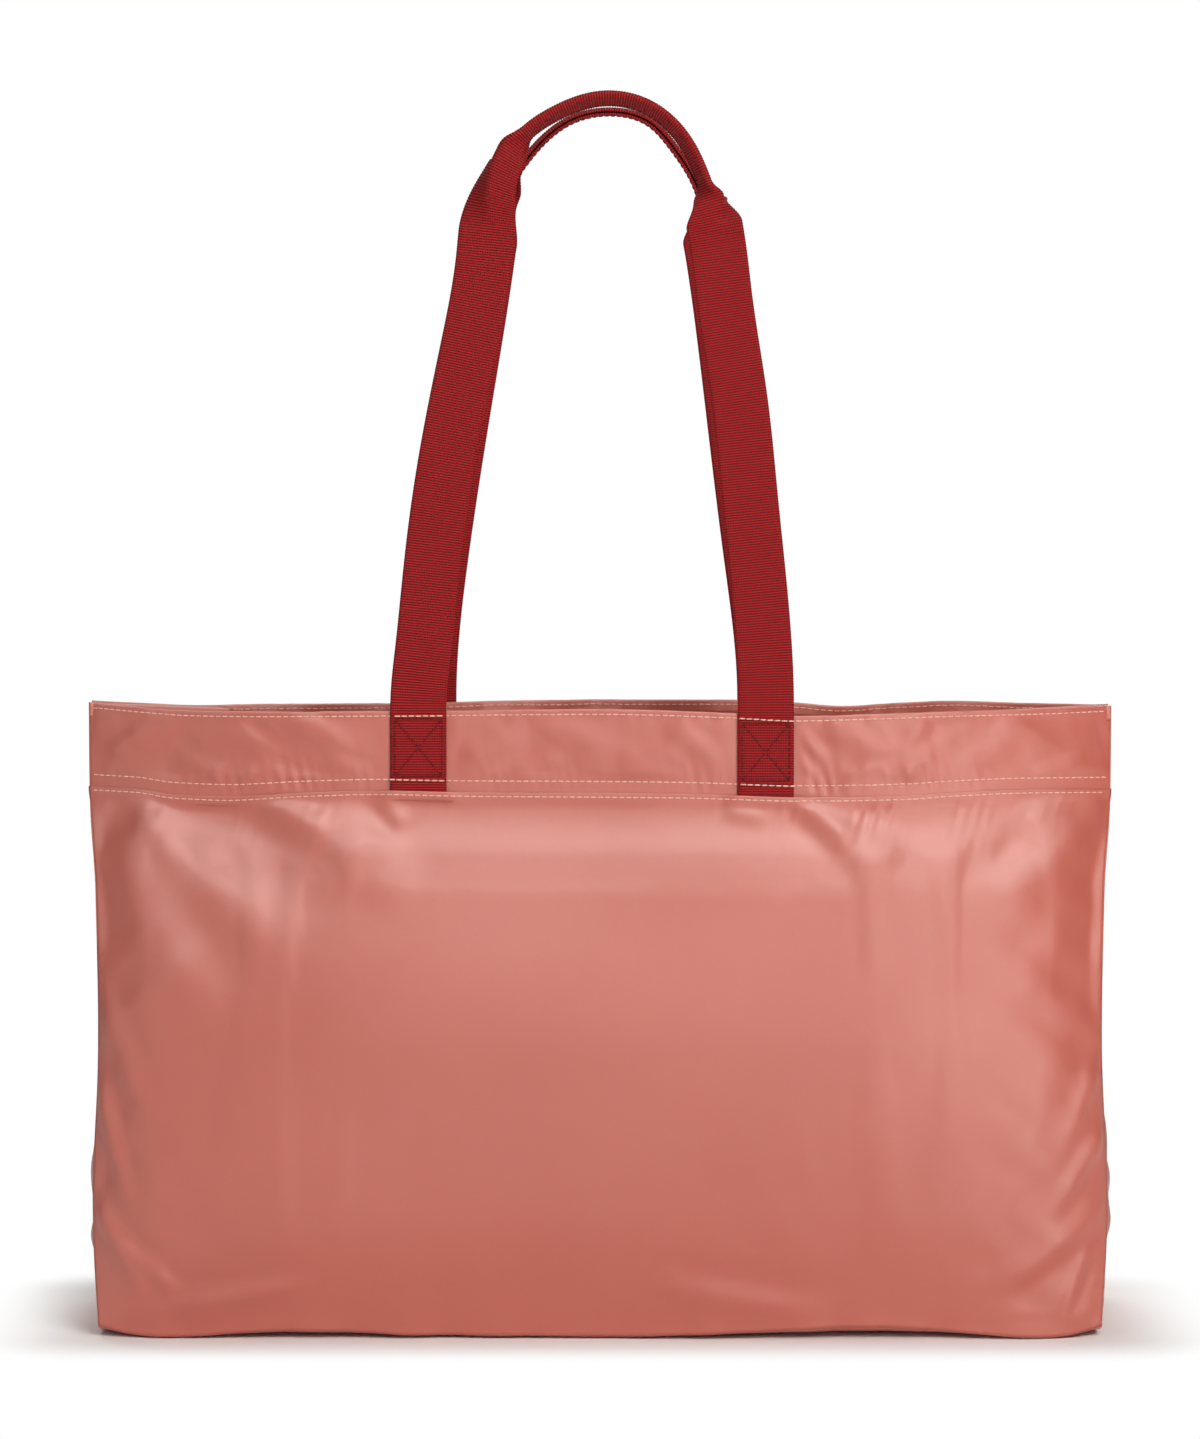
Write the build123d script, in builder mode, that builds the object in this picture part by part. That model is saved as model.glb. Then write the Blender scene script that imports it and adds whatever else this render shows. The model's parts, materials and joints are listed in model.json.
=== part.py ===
from build123d import *
import math
import os

# Foldable nylon tote bag with two webbing handles, standing open.
# Millimetres. Origin at the bottom centre of the base, +Z up, the front faces -Y.

# ---------------------------------------------------------------- driving dimensions

FABRIC = 0.8            # nylon with its hem allowance
LINING = 0.6            # facing inside the mouth, pocket cloth
GAP = 0.3               # clearance between neighbouring pieces of cloth
WEB_WIDTH = 25.4        # one inch webbing
WEB_THICK = 1.4
THREAD = 0.3            # thickness of a row of thread

RIM_Z = 284.0           # top of the mouth
SEAM_Z = 247.0          # folded top edge of the large panels
BASE_LENGTH = 456.0
BASE_DEPTH = 130.0
BASE_CORNER = 6.0

RIM_Y = 44.5            # outer face of the bands, where the handles are sewn
TAB_Y = RIM_Y + 0.1     # inner face of the sewn strap ends
TAB_TOP = RIM_Z - 0.2
LOOP_START = RIM_Z + 0.8

TOPSTITCH_Z = RIM_Z - 2.4
BAND_STITCH_Z = RIM_Z - 32.0
SEAM_STITCH_Z = SEAM_Z - 2.0
STITCH_HEIGHT = 0.6

# Shape of the open bag at six heights: half width, y at the corners, y in the
# middle, half length of the straight middle, and how far the side gusset folds in.
STATIONS = {
    0.0: (228.0, 65.0, 66.0, 150.0, 0.0),
    60.0: (230.5, 64.7, 76.0, 130.0, -6.0),
    130.0: (228.0, 61.8, 78.0, 110.0, 20.0),
    200.0: (231.0, 41.5, 63.0, 108.0, 50.0),
    247.0: (235.0, 17.0, 44.5, 105.0, 62.0),
    284.0: (236.0, 8.0, 44.5, 105.0, 64.5),
}

# Webbing loops: where each leg leaves the rim, the points it passes and its apex.
FRONT_LOOP = ((-82.5, LOOP_START), (-80.3, 311.0), (-75.5, 356.0), (-68.7, 402.0),
              (-59.7, 447.0), (-52.6, 488.0), (-49.8, 513.0), (-46.0, 524.5), (-41.7, 533.4),
              (-35.4, 542.6), (-21.0, 552.0), (2.4, 559.4), (20.8, 555.6), (36.9, 541.5),
              (45.8, 523.5), (51.2, 505.0), (56.2, 470.0), (63.1, 424.5), (68.0, 379.0),
              (72.6, 334.0), (75.3, LOOP_START))
REAR_LOOP = ((-80.5, LOOP_START), (-75.0, 350.0), (-62.6, 430.0), (-53.0, 490.0),
             (-47.6, 515.0), (-37.2, 533.0), (-27.0, 545.4), (-13.4, 555.4), (4.0, 559.2),
             (22.6, 554.6), (33.8, 543.0), (43.0, 529.0), (48.6, 514.0), (53.4, 490.0),
             (61.6, 428.0), (71.3, 350.0), (77.5, LOOP_START))
GRIP_WIDTH = WEB_WIDTH / 2
GRIP_THICK = 3.6
GRIP_TWIST = 73.0       # degrees the folded grip turns towards the outside of the bag
LOOP_SECTIONS = 48
FOLD_START = 0.362      # share of the loop's length where the webbing starts to fold
FOLD_END = 0.415        # and where it is folded in half

# Zip pocket hanging inside the rear.
POCKET_HALF = 95.0
POCKET_BOTTOM = 100.0
POCKET_TOP = 262.0
POCKET_FRONT_Y = 38.6
POCKET_BACK_Y = 41.9
ZIP_Z = 232.0
ZIP_Y = 38.9            # front of the coil
ZIP_HALF = 86.0
TAPE_WIDTH = 11.0
SLIDER_X = -80.0        # closed
PULL_PIVOT_Y = 36.5

os.makedirs("parts", exist_ok=True)


# ---------------------------------------------------------------- shared geometry

def station_at(z):
    """Shape values of the bag at height z, between the given stations."""
    heights = sorted(STATIONS)
    upper = next((h for h in heights if h >= z), heights[-1])
    lower = max((h for h in heights if h <= z), default=heights[0])
    if upper == lower:
        return STATIONS[lower]
    share = (z - lower) / (upper - lower)
    return tuple(a + (b - a) * share for a, b in zip(STATIONS[lower], STATIONS[upper]))


def levels(bottom, top):
    """The heights at which a cloth piece between bottom and top changes shape."""
    return [bottom] + [h for h in sorted(STATIONS) if bottom < h < top] + [top]


def wall_section(z, shift, thickness):
    """Section of the front wall: straight middle and a curved shoulder to each corner."""
    half_width, corner_y, centre_y, flat_half, _ = station_at(z)
    bend = (half_width + flat_half) / 2
    corner_out = shift - corner_y
    centre_out = shift - centre_y
    corner_in = corner_out + thickness
    centre_in = centre_out + thickness
    with BuildSketch(Plane.XY.offset(z)) as section:
        with BuildLine():
            Bezier((-half_width, corner_out), (-bend, centre_out), (-flat_half, centre_out))
            Line((-flat_half, centre_out), (flat_half, centre_out))
            Bezier((flat_half, centre_out), (bend, centre_out), (half_width, corner_out))
            Line((half_width, corner_out), (half_width, corner_in))
            Bezier((half_width, corner_in), (bend, centre_in), (flat_half, centre_in))
            Line((flat_half, centre_in), (-flat_half, centre_in))
            Bezier((-flat_half, centre_in), (-bend, centre_in), (-half_width, corner_in))
            Line((-half_width, corner_in), (-half_width, corner_out))
        make_face()
    return section.sketch


def wall(bottom, top, shift=0.0, thickness=FABRIC):
    """A sheet of the front wall between two heights."""
    return loft([wall_section(z, shift, thickness) for z in levels(bottom, top)], ruled=True)


def gusset_section(z):
    """Section of the left gusset, folded inwards along its middle."""
    half_width, corner_y, _, _, crease = station_at(z)
    seam_y = corner_y - 2 * FABRIC - GAP
    seam_x = -half_width
    crease_x = crease - half_width
    length = math.hypot(crease, seam_y)
    along_x, along_y = crease / length, seam_y / length
    front_seam = (seam_x, -seam_y)
    rear_seam = (seam_x, seam_y)
    front_edge = (seam_x - FABRIC * along_y, -seam_y + FABRIC * along_x)
    rear_edge = (seam_x - FABRIC * along_y, seam_y - FABRIC * along_x)
    outer_crease = (crease_x - FABRIC / along_y, 0.0)
    with BuildSketch(Plane.XY.offset(z)) as section:
        with BuildLine():
            Polyline(
                front_seam, (crease_x, 0.0), rear_seam,
                rear_edge, outer_crease, front_edge, close=True,
            )
        make_face()
    return section.sketch


def gusset(bottom, top):
    """The left gusset between two heights."""
    return loft([gusset_section(z) for z in levels(bottom, top)], ruled=True)


def save(part, name):
    part.label = name
    export_step(part, f"parts/{name}.step")


# ---------------------------------------------------------------- base and gussets

with BuildPart() as base_panel:
    with BuildSketch(Plane.XY):
        RectangleRounded(BASE_LENGTH, BASE_DEPTH, BASE_CORNER)
    extrude(amount=FABRIC)
save(base_panel.part, "base_panel")

with BuildPart() as left_gusset:
    add(gusset(FABRIC + GAP, SEAM_Z))
save(left_gusset.part, "left_gusset")

with BuildPart() as right_gusset:
    add(mirror(left_gusset.part, about=Plane.YZ, mode=Mode.PRIVATE))
save(right_gusset.part, "right_gusset")

with BuildPart() as left_gusset_band:
    add(gusset(SEAM_Z + GAP, RIM_Z))
save(left_gusset_band.part, "left_gusset_band")

with BuildPart() as right_gusset_band:
    add(mirror(left_gusset_band.part, about=Plane.YZ, mode=Mode.PRIVATE))
save(right_gusset_band.part, "right_gusset_band")


# ---------------------------------------------------------------- front and rear walls

FACING_HALF = 160.0
FACING_TOP = RIM_Z - 0.6

with BuildPart() as front_panel:
    add(wall(FABRIC + GAP, SEAM_Z))
save(front_panel.part, "front_panel")

with BuildPart() as front_band:
    add(wall(SEAM_Z + GAP, RIM_Z))
save(front_band.part, "front_band")

with BuildPart() as front_facing:
    add(wall(SEAM_Z, FACING_TOP, FABRIC + 0.1, LINING))
    with Locations((0, 0, RIM_Z)):
        Box(2 * FACING_HALF, 2 * BASE_DEPTH, 2 * RIM_Z, mode=Mode.INTERSECT)
save(front_facing.part, "front_facing")

with BuildPart() as rear_panel:
    add(mirror(front_panel.part, about=Plane.XZ, mode=Mode.PRIVATE))
save(rear_panel.part, "rear_panel")

with BuildPart() as rear_band:
    add(mirror(front_band.part, about=Plane.XZ, mode=Mode.PRIVATE))
save(rear_band.part, "rear_band")

with BuildPart() as rear_facing:
    add(mirror(front_facing.part, about=Plane.XZ, mode=Mode.PRIVATE))
save(rear_facing.part, "rear_facing")


# ---------------------------------------------------------------- rows of stitching

def tab_centres(side):
    """x of the left and right sewn strap end; side is -1 at the front, 1 at the rear."""
    loop = FRONT_LOOP if side < 0 else REAR_LOOP
    return loop[0][0], loop[-1][0]


def stitched_row(side, z, over_tabs):
    """A row of thread on the outside of a wall, which runs over or under the strap ends."""
    low = z - STITCH_HEIGHT / 2
    high = z + STITCH_HEIGHT / 2
    with BuildPart() as row:
        add(wall(low, high, -0.1 - THREAD, THREAD))
        if side > 0:
            mirror(about=Plane.XZ, mode=Mode.REPLACE)
        if over_tabs:
            with Locations([(x, side * RIM_Y, z) for x in tab_centres(side)]):
                Box(WEB_WIDTH + 2 * GAP, 20, 10, mode=Mode.SUBTRACT)
            thread_y = TAB_Y + WEB_THICK + 0.1 + THREAD / 2
            with Locations([(x, side * thread_y, z) for x in tab_centres(side)]):
                Box(WEB_WIDTH, THREAD, STITCH_HEIGHT)
    return row.part


for side, side_name in ((-1, "front"), (1, "rear")):
    save(stitched_row(side, TOPSTITCH_Z, True), f"{side_name}_topstitching")
    save(stitched_row(side, BAND_STITCH_Z, True), f"{side_name}_band_stitching")
    save(stitched_row(side, SEAM_STITCH_Z, False), f"{side_name}_seam_stitching")


# ---------------------------------------------------------------- sewn strap ends

TAB_BOTTOM = SEAM_Z + GAP
BOX_BOTTOM = BAND_STITCH_Z + 2.0        # the box of stitches stays between the two rows
BOX_TOP = TOPSTITCH_Z - 3.0
BOX_HALF = WEB_WIDTH / 2 - 2.0
BOX_THREAD = 0.8


def strap_end(side, x):
    """The end of a strap, lying flat on the band."""
    with BuildPart() as tab:
        with BuildSketch(Plane.XZ.offset(-side * TAB_Y)):
            with Locations((x, (TAB_BOTTOM + TAB_TOP) / 2)):
                Rectangle(WEB_WIDTH, TAB_TOP - TAB_BOTTOM)
        extrude(amount=-side * WEB_THICK)
    return tab.part


def box_stitching(side):
    """A box of thread with a cross in it, on each of the two strap ends of one side."""
    middle_z = (BOX_TOP + BOX_BOTTOM) / 2
    half_height = (BOX_TOP - BOX_BOTTOM) / 2
    diagonal = math.hypot(2 * BOX_HALF, 2 * half_height)
    slope = math.degrees(math.atan2(half_height, BOX_HALF))
    with BuildPart() as stitches:
        with BuildSketch(Plane.XZ.offset(-side * (TAB_Y + WEB_THICK + 0.1))):
            with Locations([(x, middle_z) for x in tab_centres(side)]):
                Rectangle(2 * BOX_HALF + BOX_THREAD, 2 * half_height + BOX_THREAD)
                Rectangle(2 * BOX_HALF - BOX_THREAD, 2 * half_height - BOX_THREAD, mode=Mode.SUBTRACT)
                Rectangle(diagonal, BOX_THREAD, rotation=slope)
                Rectangle(diagonal, BOX_THREAD, rotation=-slope)
        extrude(amount=-side * THREAD)
    return stitches.part


for side, side_name in ((-1, "front"), (1, "rear")):
    left_x, right_x = tab_centres(side)
    save(strap_end(side, left_x), f"{side_name}_handle_end_left")
    save(strap_end(side, right_x), f"{side_name}_handle_end_right")
    save(box_stitching(side), f"{side_name}_box_stitches")


# ---------------------------------------------------------------- handle loops

def smooth(value):
    value = min(1.0, max(0.0, value))
    return value * value * (3 - 2 * value)


def folded_share(u):
    """How far the webbing is folded in half at the share u of the loop's length."""
    from_end = min(u, 1 - u)
    return smooth((from_end - FOLD_START) / (FOLD_END - FOLD_START))


def loop_planes(side, points):
    """A plane across the loop for each section, with its folded share."""
    strap_y = side * (TAB_Y + WEB_THICK / 2)
    middle = Spline(*[Vector(x, strap_y, z) for x, z in points], tangents=((0, 0, 1), (0, 0, -1)))
    for i in range(LOOP_SECTIONS + 1):
        u = i / LOOP_SECTIONS
        share = folded_share(u)
        tangent = middle % u
        outward = Vector(-tangent.Z, 0, tangent.X)
        twist = math.radians(GRIP_TWIST) * share
        across = outward * math.cos(twist) + Vector(0, side, 0) * math.sin(twist)
        yield Plane(origin=middle @ u, x_dir=across, z_dir=tangent), share


def handle_loop(side, points):
    sections = []
    for plane, share in loop_planes(side, points):
        width = WEB_WIDTH + (GRIP_WIDTH - WEB_WIDTH) * share
        thickness = WEB_THICK + (GRIP_THICK - WEB_THICK) * share
        with BuildSketch(plane) as section:
            Rectangle(width, thickness)
        sections.append(section.sketch)
    with BuildPart() as loop:
        loft(sections, ruled=True)
    return loop.part


def grip_stitching(side, points):
    """The row of thread that closes the folded grip along its inner edge."""
    sections = []
    for plane, share in loop_planes(side, points):
        if share < 1.0:
            continue
        across = 2.0 - GRIP_WIDTH / 2
        above = -side * (GRIP_THICK / 2 + 0.1 + THREAD / 2)
        with BuildSketch(plane) as section:
            with Locations((across, above)):
                Rectangle(BOX_THREAD, THREAD)
        sections.append(section.sketch)
    with BuildPart() as row:
        loft(sections, ruled=True)
    return row.part


for side, side_name, loop_points in ((-1, "front", FRONT_LOOP), (1, "rear", REAR_LOOP)):
    save(handle_loop(side, loop_points), f"{side_name}_handle_loop")
    save(grip_stitching(side, loop_points), f"{side_name}_grip_stitching")


# ---------------------------------------------------------------- inner zip pocket

def upright_sheet(half_length, bottom, top, y, thickness):
    """A flat upright sheet centred on x = 0, with its front face at y."""
    with BuildPart() as sheet:
        with BuildSketch(Plane.XZ.offset(-y)):
            with Locations((0, (bottom + top) / 2)):
                Rectangle(2 * half_length, top - bottom)
        extrude(amount=-thickness)
    return sheet.part


WINDOW_HALF = 4.6       # half height of the slot that shows the zip
TAPE_THICK = 0.5
TAPE_Y = ZIP_Y + 0.6
COIL_HALF = 2.0
COIL_SPLIT = 0.4        # half the clearance in which the slider's wedge runs

save(upright_sheet(POCKET_HALF, POCKET_BOTTOM, POCKET_TOP, POCKET_BACK_Y, LINING), "pocket_back")
save(upright_sheet(POCKET_HALF, ZIP_Z + WINDOW_HALF, POCKET_TOP, POCKET_FRONT_Y, LINING),
     "pocket_front_upper")
save(upright_sheet(POCKET_HALF, POCKET_BOTTOM, ZIP_Z - WINDOW_HALF, POCKET_FRONT_Y, LINING),
     "pocket_front_lower")
save(upright_sheet(POCKET_HALF - 2, ZIP_Z + COIL_HALF + 0.2, ZIP_Z + TAPE_WIDTH, TAPE_Y, TAPE_THICK),
     "zip_tape_upper")
save(upright_sheet(POCKET_HALF - 2, ZIP_Z - TAPE_WIDTH, ZIP_Z - COIL_HALF - 0.2, TAPE_Y, TAPE_THICK),
     "zip_tape_lower")

BINDING_TOP = SEAM_Z - 1.0
BINDING_FACE = 7.0
BINDING_FRONT_Y = POCKET_FRONT_Y - GAP - 0.4
BINDING_BACK_Y = POCKET_BACK_Y + LINING + GAP + 0.4

with BuildPart() as pocket_binding:
    with BuildSketch(Plane.XZ.offset(-BINDING_FRONT_Y)):
        with Locations((0, (POCKET_BOTTOM - 1.6 + BINDING_TOP) / 2)):
            Rectangle(2 * POCKET_HALF + 3.2, BINDING_TOP - POCKET_BOTTOM + 1.6)
        with Locations((0, (POCKET_BOTTOM + BINDING_FACE + BINDING_TOP) / 2)):
            Rectangle(2 * (POCKET_HALF - BINDING_FACE), BINDING_TOP - POCKET_BOTTOM - BINDING_FACE,
                      mode=Mode.SUBTRACT)
    extrude(amount=BINDING_FRONT_Y - BINDING_BACK_Y)
    with BuildSketch(Plane.XZ.offset(-POCKET_FRONT_Y + GAP)):
        with Locations((0, (POCKET_BOTTOM - 0.6 + BINDING_TOP) / 2)):
            Rectangle(2 * POCKET_HALF + 1.2, BINDING_TOP - POCKET_BOTTOM + 0.6)
    extrude(amount=POCKET_FRONT_Y - POCKET_BACK_Y - LINING - 2 * GAP, mode=Mode.SUBTRACT)
save(pocket_binding.part, "pocket_binding")

COIL_THICK = 1.5

with BuildPart() as zip_coil:
    with BuildSketch(Plane.XZ.offset(-ZIP_Y)):
        with Locations((0, ZIP_Z)):
            Rectangle(2 * ZIP_HALF, 2 * COIL_HALF)
            Rectangle(2 * ZIP_HALF, 2 * COIL_SPLIT, mode=Mode.SUBTRACT)
    extrude(amount=-COIL_THICK)
save(zip_coil.part, "zip_coil")

with BuildPart() as zip_stops:
    with Locations([(x, ZIP_Y + COIL_THICK / 2, ZIP_Z) for x in (-ZIP_HALF - 1.2, ZIP_HALF + 1.2)]):
        Box(1.8, COIL_THICK + 0.6, 2 * COIL_HALF)
save(zip_stops.part, "zip_stops")

SLIDER_LENGTH = 9.0
SLIDER_HEIGHT = 8.0
PLATE = 1.2
SLIDER_FRONT_Y = ZIP_Y - 0.3 - PLATE
BACK_PLATE_Y = ZIP_Y + COIL_THICK + 0.3
BACK_PLATE = 0.7
BAIL_HALF = 2.7
BAIL_BAR = 0.8
BAIL_TOP_Y = SLIDER_FRONT_Y - 2.4

with BuildPart() as zip_slider:
    with BuildSketch(Plane.XZ.offset(-SLIDER_FRONT_Y)):
        with Locations((SLIDER_X, ZIP_Z)):
            RectangleRounded(SLIDER_LENGTH, SLIDER_HEIGHT, 2.0)
    extrude(amount=-PLATE)
    with BuildSketch(Plane.XZ.offset(-BACK_PLATE_Y)):
        with Locations((SLIDER_X, ZIP_Z)):
            RectangleRounded(SLIDER_LENGTH, SLIDER_HEIGHT, 2.0)
    extrude(amount=-BACK_PLATE)
    with Locations((SLIDER_X - 2.5, (SLIDER_FRONT_Y + BACK_PLATE_Y + BACK_PLATE) / 2, ZIP_Z)):
        Box(3.0, BACK_PLATE_Y - SLIDER_FRONT_Y, 0.5)
    with BuildSketch(Plane.XY.offset(ZIP_Z - BAIL_BAR)):
        with Locations((SLIDER_X, (BAIL_TOP_Y + SLIDER_FRONT_Y) / 2)):
            Rectangle(2 * BAIL_HALF, SLIDER_FRONT_Y - BAIL_TOP_Y)
        with Locations((SLIDER_X, (BAIL_TOP_Y + BAIL_BAR + SLIDER_FRONT_Y) / 2)):
            Rectangle(
                2 * (BAIL_HALF - BAIL_BAR),
                SLIDER_FRONT_Y - BAIL_TOP_Y - BAIL_BAR,
                mode=Mode.SUBTRACT,
            )
    extrude(amount=2 * BAIL_BAR)
save(zip_slider.part, "zip_slider")

PULL_LENGTH = 20.0
PULL_HALF = 2.4
PULL_THICK = 0.8

with BuildPart() as zip_pull:
    with BuildSketch(Plane.XZ.offset(-PULL_PIVOT_Y + PULL_THICK / 2)):
        with Locations((SLIDER_X + PULL_LENGTH / 2 - 0.5, ZIP_Z)):
            RectangleRounded(PULL_LENGTH, 2 * PULL_HALF, 0.45)
        with Locations((SLIDER_X + 2.2, ZIP_Z)):
            Rectangle(3.2, 2.3, mode=Mode.SUBTRACT)
    extrude(amount=-PULL_THICK)
save(zip_pull.part, "zip_pull")


# ---------------------------------------------------------------- care label

LABEL_X = -92.0
LABEL_WIDTH = 22.0
LABEL_TOP = SEAM_Z + 6.0
LABEL_BOTTOM = SEAM_Z - 30.0
LABEL_Y = RIM_Y - FABRIC - 0.1 - LINING - GAP

with BuildPart() as care_label:
    with BuildSketch(Plane.XZ.offset(LABEL_Y)):
        with Locations((LABEL_X, (LABEL_TOP + LABEL_BOTTOM) / 2)):
            Rectangle(LABEL_WIDTH, LABEL_TOP - LABEL_BOTTOM)
    extrude(amount=-0.4)
save(care_label.part, "care_label")
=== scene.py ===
import json
import math

import bpy
import numpy as np
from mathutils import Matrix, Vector


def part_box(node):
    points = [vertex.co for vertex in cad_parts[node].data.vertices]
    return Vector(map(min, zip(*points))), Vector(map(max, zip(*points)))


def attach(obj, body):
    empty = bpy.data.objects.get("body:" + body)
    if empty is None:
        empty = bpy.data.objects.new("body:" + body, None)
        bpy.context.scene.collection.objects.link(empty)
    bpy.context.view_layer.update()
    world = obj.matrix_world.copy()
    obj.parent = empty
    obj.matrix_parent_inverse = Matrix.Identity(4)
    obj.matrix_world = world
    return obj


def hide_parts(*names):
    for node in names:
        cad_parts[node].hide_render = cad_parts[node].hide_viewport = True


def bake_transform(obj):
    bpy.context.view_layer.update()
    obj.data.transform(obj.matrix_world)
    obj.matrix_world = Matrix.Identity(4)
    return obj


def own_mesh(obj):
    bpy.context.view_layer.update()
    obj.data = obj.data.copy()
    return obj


# Looks of the foldable nylon tote bag. Shapes are worked out in millimetres and written to
# meshes in metres, in the frame of the CAD model: +Z up, the front faces -Y.

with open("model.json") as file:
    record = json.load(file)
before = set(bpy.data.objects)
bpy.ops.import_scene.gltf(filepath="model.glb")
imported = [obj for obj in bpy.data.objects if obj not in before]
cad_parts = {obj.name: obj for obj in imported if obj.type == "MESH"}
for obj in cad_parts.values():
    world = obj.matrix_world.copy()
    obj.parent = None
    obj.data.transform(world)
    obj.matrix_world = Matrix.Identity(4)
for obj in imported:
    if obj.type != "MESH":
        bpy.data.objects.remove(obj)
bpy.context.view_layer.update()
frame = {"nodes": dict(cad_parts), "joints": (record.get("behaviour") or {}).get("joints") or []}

MM = 0.001


def box_mm(node):
    """Lowest and highest corner of a CAD node, in millimetres."""
    low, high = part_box(node)
    return np.array(low) / MM, np.array(high) / MM


# ---------------------------------------------------------------- sizes taken from the frame

BAND_LOW, BAND_HIGH = box_mm("front_band")
TAB_LOW, TAB_HIGH = box_mm("front_handle_end_left")
RIM_Z = BAND_HIGH[2]
RIM_Y = -BAND_LOW[1]
SEAM_Z = box_mm("front_panel")[1][2]
BASE_HALF_LENGTH, BASE_HALF_DEPTH = box_mm("base_panel")[1][:2]
WEB_WIDTH, WEB_THICK = (TAB_HIGH - TAB_LOW)[:2]
STITCH_Z = {row: float(np.mean(box_mm(f"front_{row}"), axis=0)[2])
            for row in ("topstitching", "band_stitching", "seam_stitching")}
PRESS = next(j for j in frame["joints"] if j["name"] == "press_flat")["range_m"][1]

CLOTH = 0.45            # thickness the nylon is drawn with
STITCH_PITCH = 3.2
STITCH_LENGTH = 2.7
STITCH_RADIUS = 0.27
RIB_PITCH = 1.16        # ribs across the webbing
RIB_DEPTH = 0.20
BOX_REACH = 2.0         # the cross stitching's distance from the webbing's edges
STRAP_OFF = 0.1         # air between the rim and the webbing sewn to it

# Sections of the open bag: height, half width, y at the corners, y in the middle,
# half length of the straight middle, and how far the gusset folds in.
SECTIONS = np.array((
    (0.0, 228.0, 65.0, 66.0, 150.0, 0.0),
    (60.0, 230.5, 64.7, 75.5, 130.0, -5.0),
    (130.0, 228.0, 61.8, 77.5, 110.0, 20.0),
    (200.0, 231.0, 41.5, 63.0, 108.0, 50.0),
    (SEAM_Z, 235.0, 17.0, RIM_Y, 105.0, 62.0),
    (RIM_Z, 236.0, 8.0, RIM_Y, 105.0, 64.5),
))


# ---------------------------------------------------------------- small helpers

def hermite(t, knots, values):
    """A smooth curve through the knots, with slopes that don't overshoot."""
    knots, values = np.asarray(knots, float), np.asarray(values, float)
    steps = np.diff(knots)
    slopes = np.diff(values) / steps
    tangents = np.zeros(len(knots))
    same_way = slopes[:-1] * slopes[1:] > 0
    total = np.where(same_way, slopes[:-1] + slopes[1:], 1.0)
    tangents[1:-1] = np.where(same_way, 2 * slopes[:-1] * slopes[1:] / total, 0.0)
    tangents[0], tangents[-1] = slopes[0], slopes[-1]
    i = np.clip(np.searchsorted(knots, t, side="right") - 1, 0, len(steps) - 1)
    h = steps[i]
    s = np.clip((t - knots[i]) / h, 0, 1)
    return ((2 * s ** 3 - 3 * s ** 2 + 1) * values[i] + (s ** 3 - 2 * s ** 2 + s) * h * tangents[i]
            + (3 * s ** 2 - 2 * s ** 3) * values[i + 1] + (s ** 3 - s ** 2) * h * tangents[i + 1])


def smooth(value):
    """0 below 0 and 1 above 1, with a soft S between."""
    value = np.clip(value, 0.0, 1.0)
    return value * value * (3 - 2 * value)


def unit(vectors):
    """The vectors at length 1."""
    return vectors / np.maximum(np.linalg.norm(vectors, axis=-1, keepdims=True), 1e-12)


def resample(grid, rows, cols):
    """Catmull-Rom interpolation of a grid of points at fractional row and column numbers."""
    def along(values, places):
        last = len(values) - 1
        i = np.clip(np.floor(places).astype(int), 0, last - 1)
        t = (places - i).reshape((-1,) + (1,) * (values.ndim - 1))
        before = values[i] * 2 - values[i + 1]
        p0 = np.where((i > 0).reshape(t.shape), values[np.maximum(i - 1, 0)], before)
        after = values[i + 1] * 2 - values[i]
        p3 = np.where((i + 2 <= last).reshape(t.shape), values[np.minimum(i + 2, last)], after)
        p1, p2 = values[i], values[i + 1]
        return 0.5 * (2 * p1 + (p2 - p0) * t + (2 * p0 - 5 * p1 + 4 * p2 - p3) * t ** 2
                      + (3 * p1 - p0 - 3 * p2 + p3) * t ** 3)
    rows, cols = np.asarray(rows, float), np.asarray(cols, float)
    return along(along(grid, rows).swapaxes(0, 1), cols).swapaxes(0, 1)


def grid_normals(grid):
    """Unit normals of a grid of points, from its neighbours."""
    down, across = np.gradient(grid, axis=0), np.gradient(grid, axis=1)
    return unit(np.cross(across, down))


def add_object(name, verts, faces, material, uvs=None):
    """A smooth-shaded mesh; its points, and a pair of uvs for each point, are in millimetres."""
    mesh = bpy.data.meshes.new(name)
    mesh.from_pydata((np.asarray(verts, float) * MM).tolist(), [], faces)
    mesh.validate()
    mesh.update()
    if uvs is not None:
        layer = mesh.uv_layers.new(name="cloth")
        loops = np.zeros(len(mesh.loops), int)
        mesh.loops.foreach_get("vertex_index", loops)
        layer.data.foreach_set("uv", (np.asarray(uvs, float)[loops] * MM).ravel())
    mesh.shade_smooth()
    mesh.materials.append(material)
    piece = bpy.data.objects.new(name, mesh)
    bpy.context.scene.collection.objects.link(piece)
    return piece


def grid_faces(rows, cols, flip=False, start=0):
    """Faces of a grid of points whose first one has the number start."""
    i, j = np.meshgrid(np.arange(rows - 1), np.arange(cols - 1), indexing="ij")
    a = start + i * cols + j
    quads = np.stack((a, a + 1, a + cols + 1, a + cols), axis=-1).reshape(-1, 4)
    return (quads[:, ::-1] if flip else quads).tolist()


def tube_faces(rows, cols, start=0):
    """Faces of a tube of rings of points, and then its two end caps."""
    i, j = np.meshgrid(np.arange(rows - 1), np.arange(cols), indexing="ij")
    a, b = start + i * cols + j, start + i * cols + (j + 1) % cols
    quads = np.stack((a, b, b + cols, a + cols), axis=-1).reshape(-1, 4)
    first = list(range(start, start + cols))
    last = list(range(start + (rows - 1) * cols, start + rows * cols))
    return quads.tolist() + [first[::-1], last]


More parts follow.
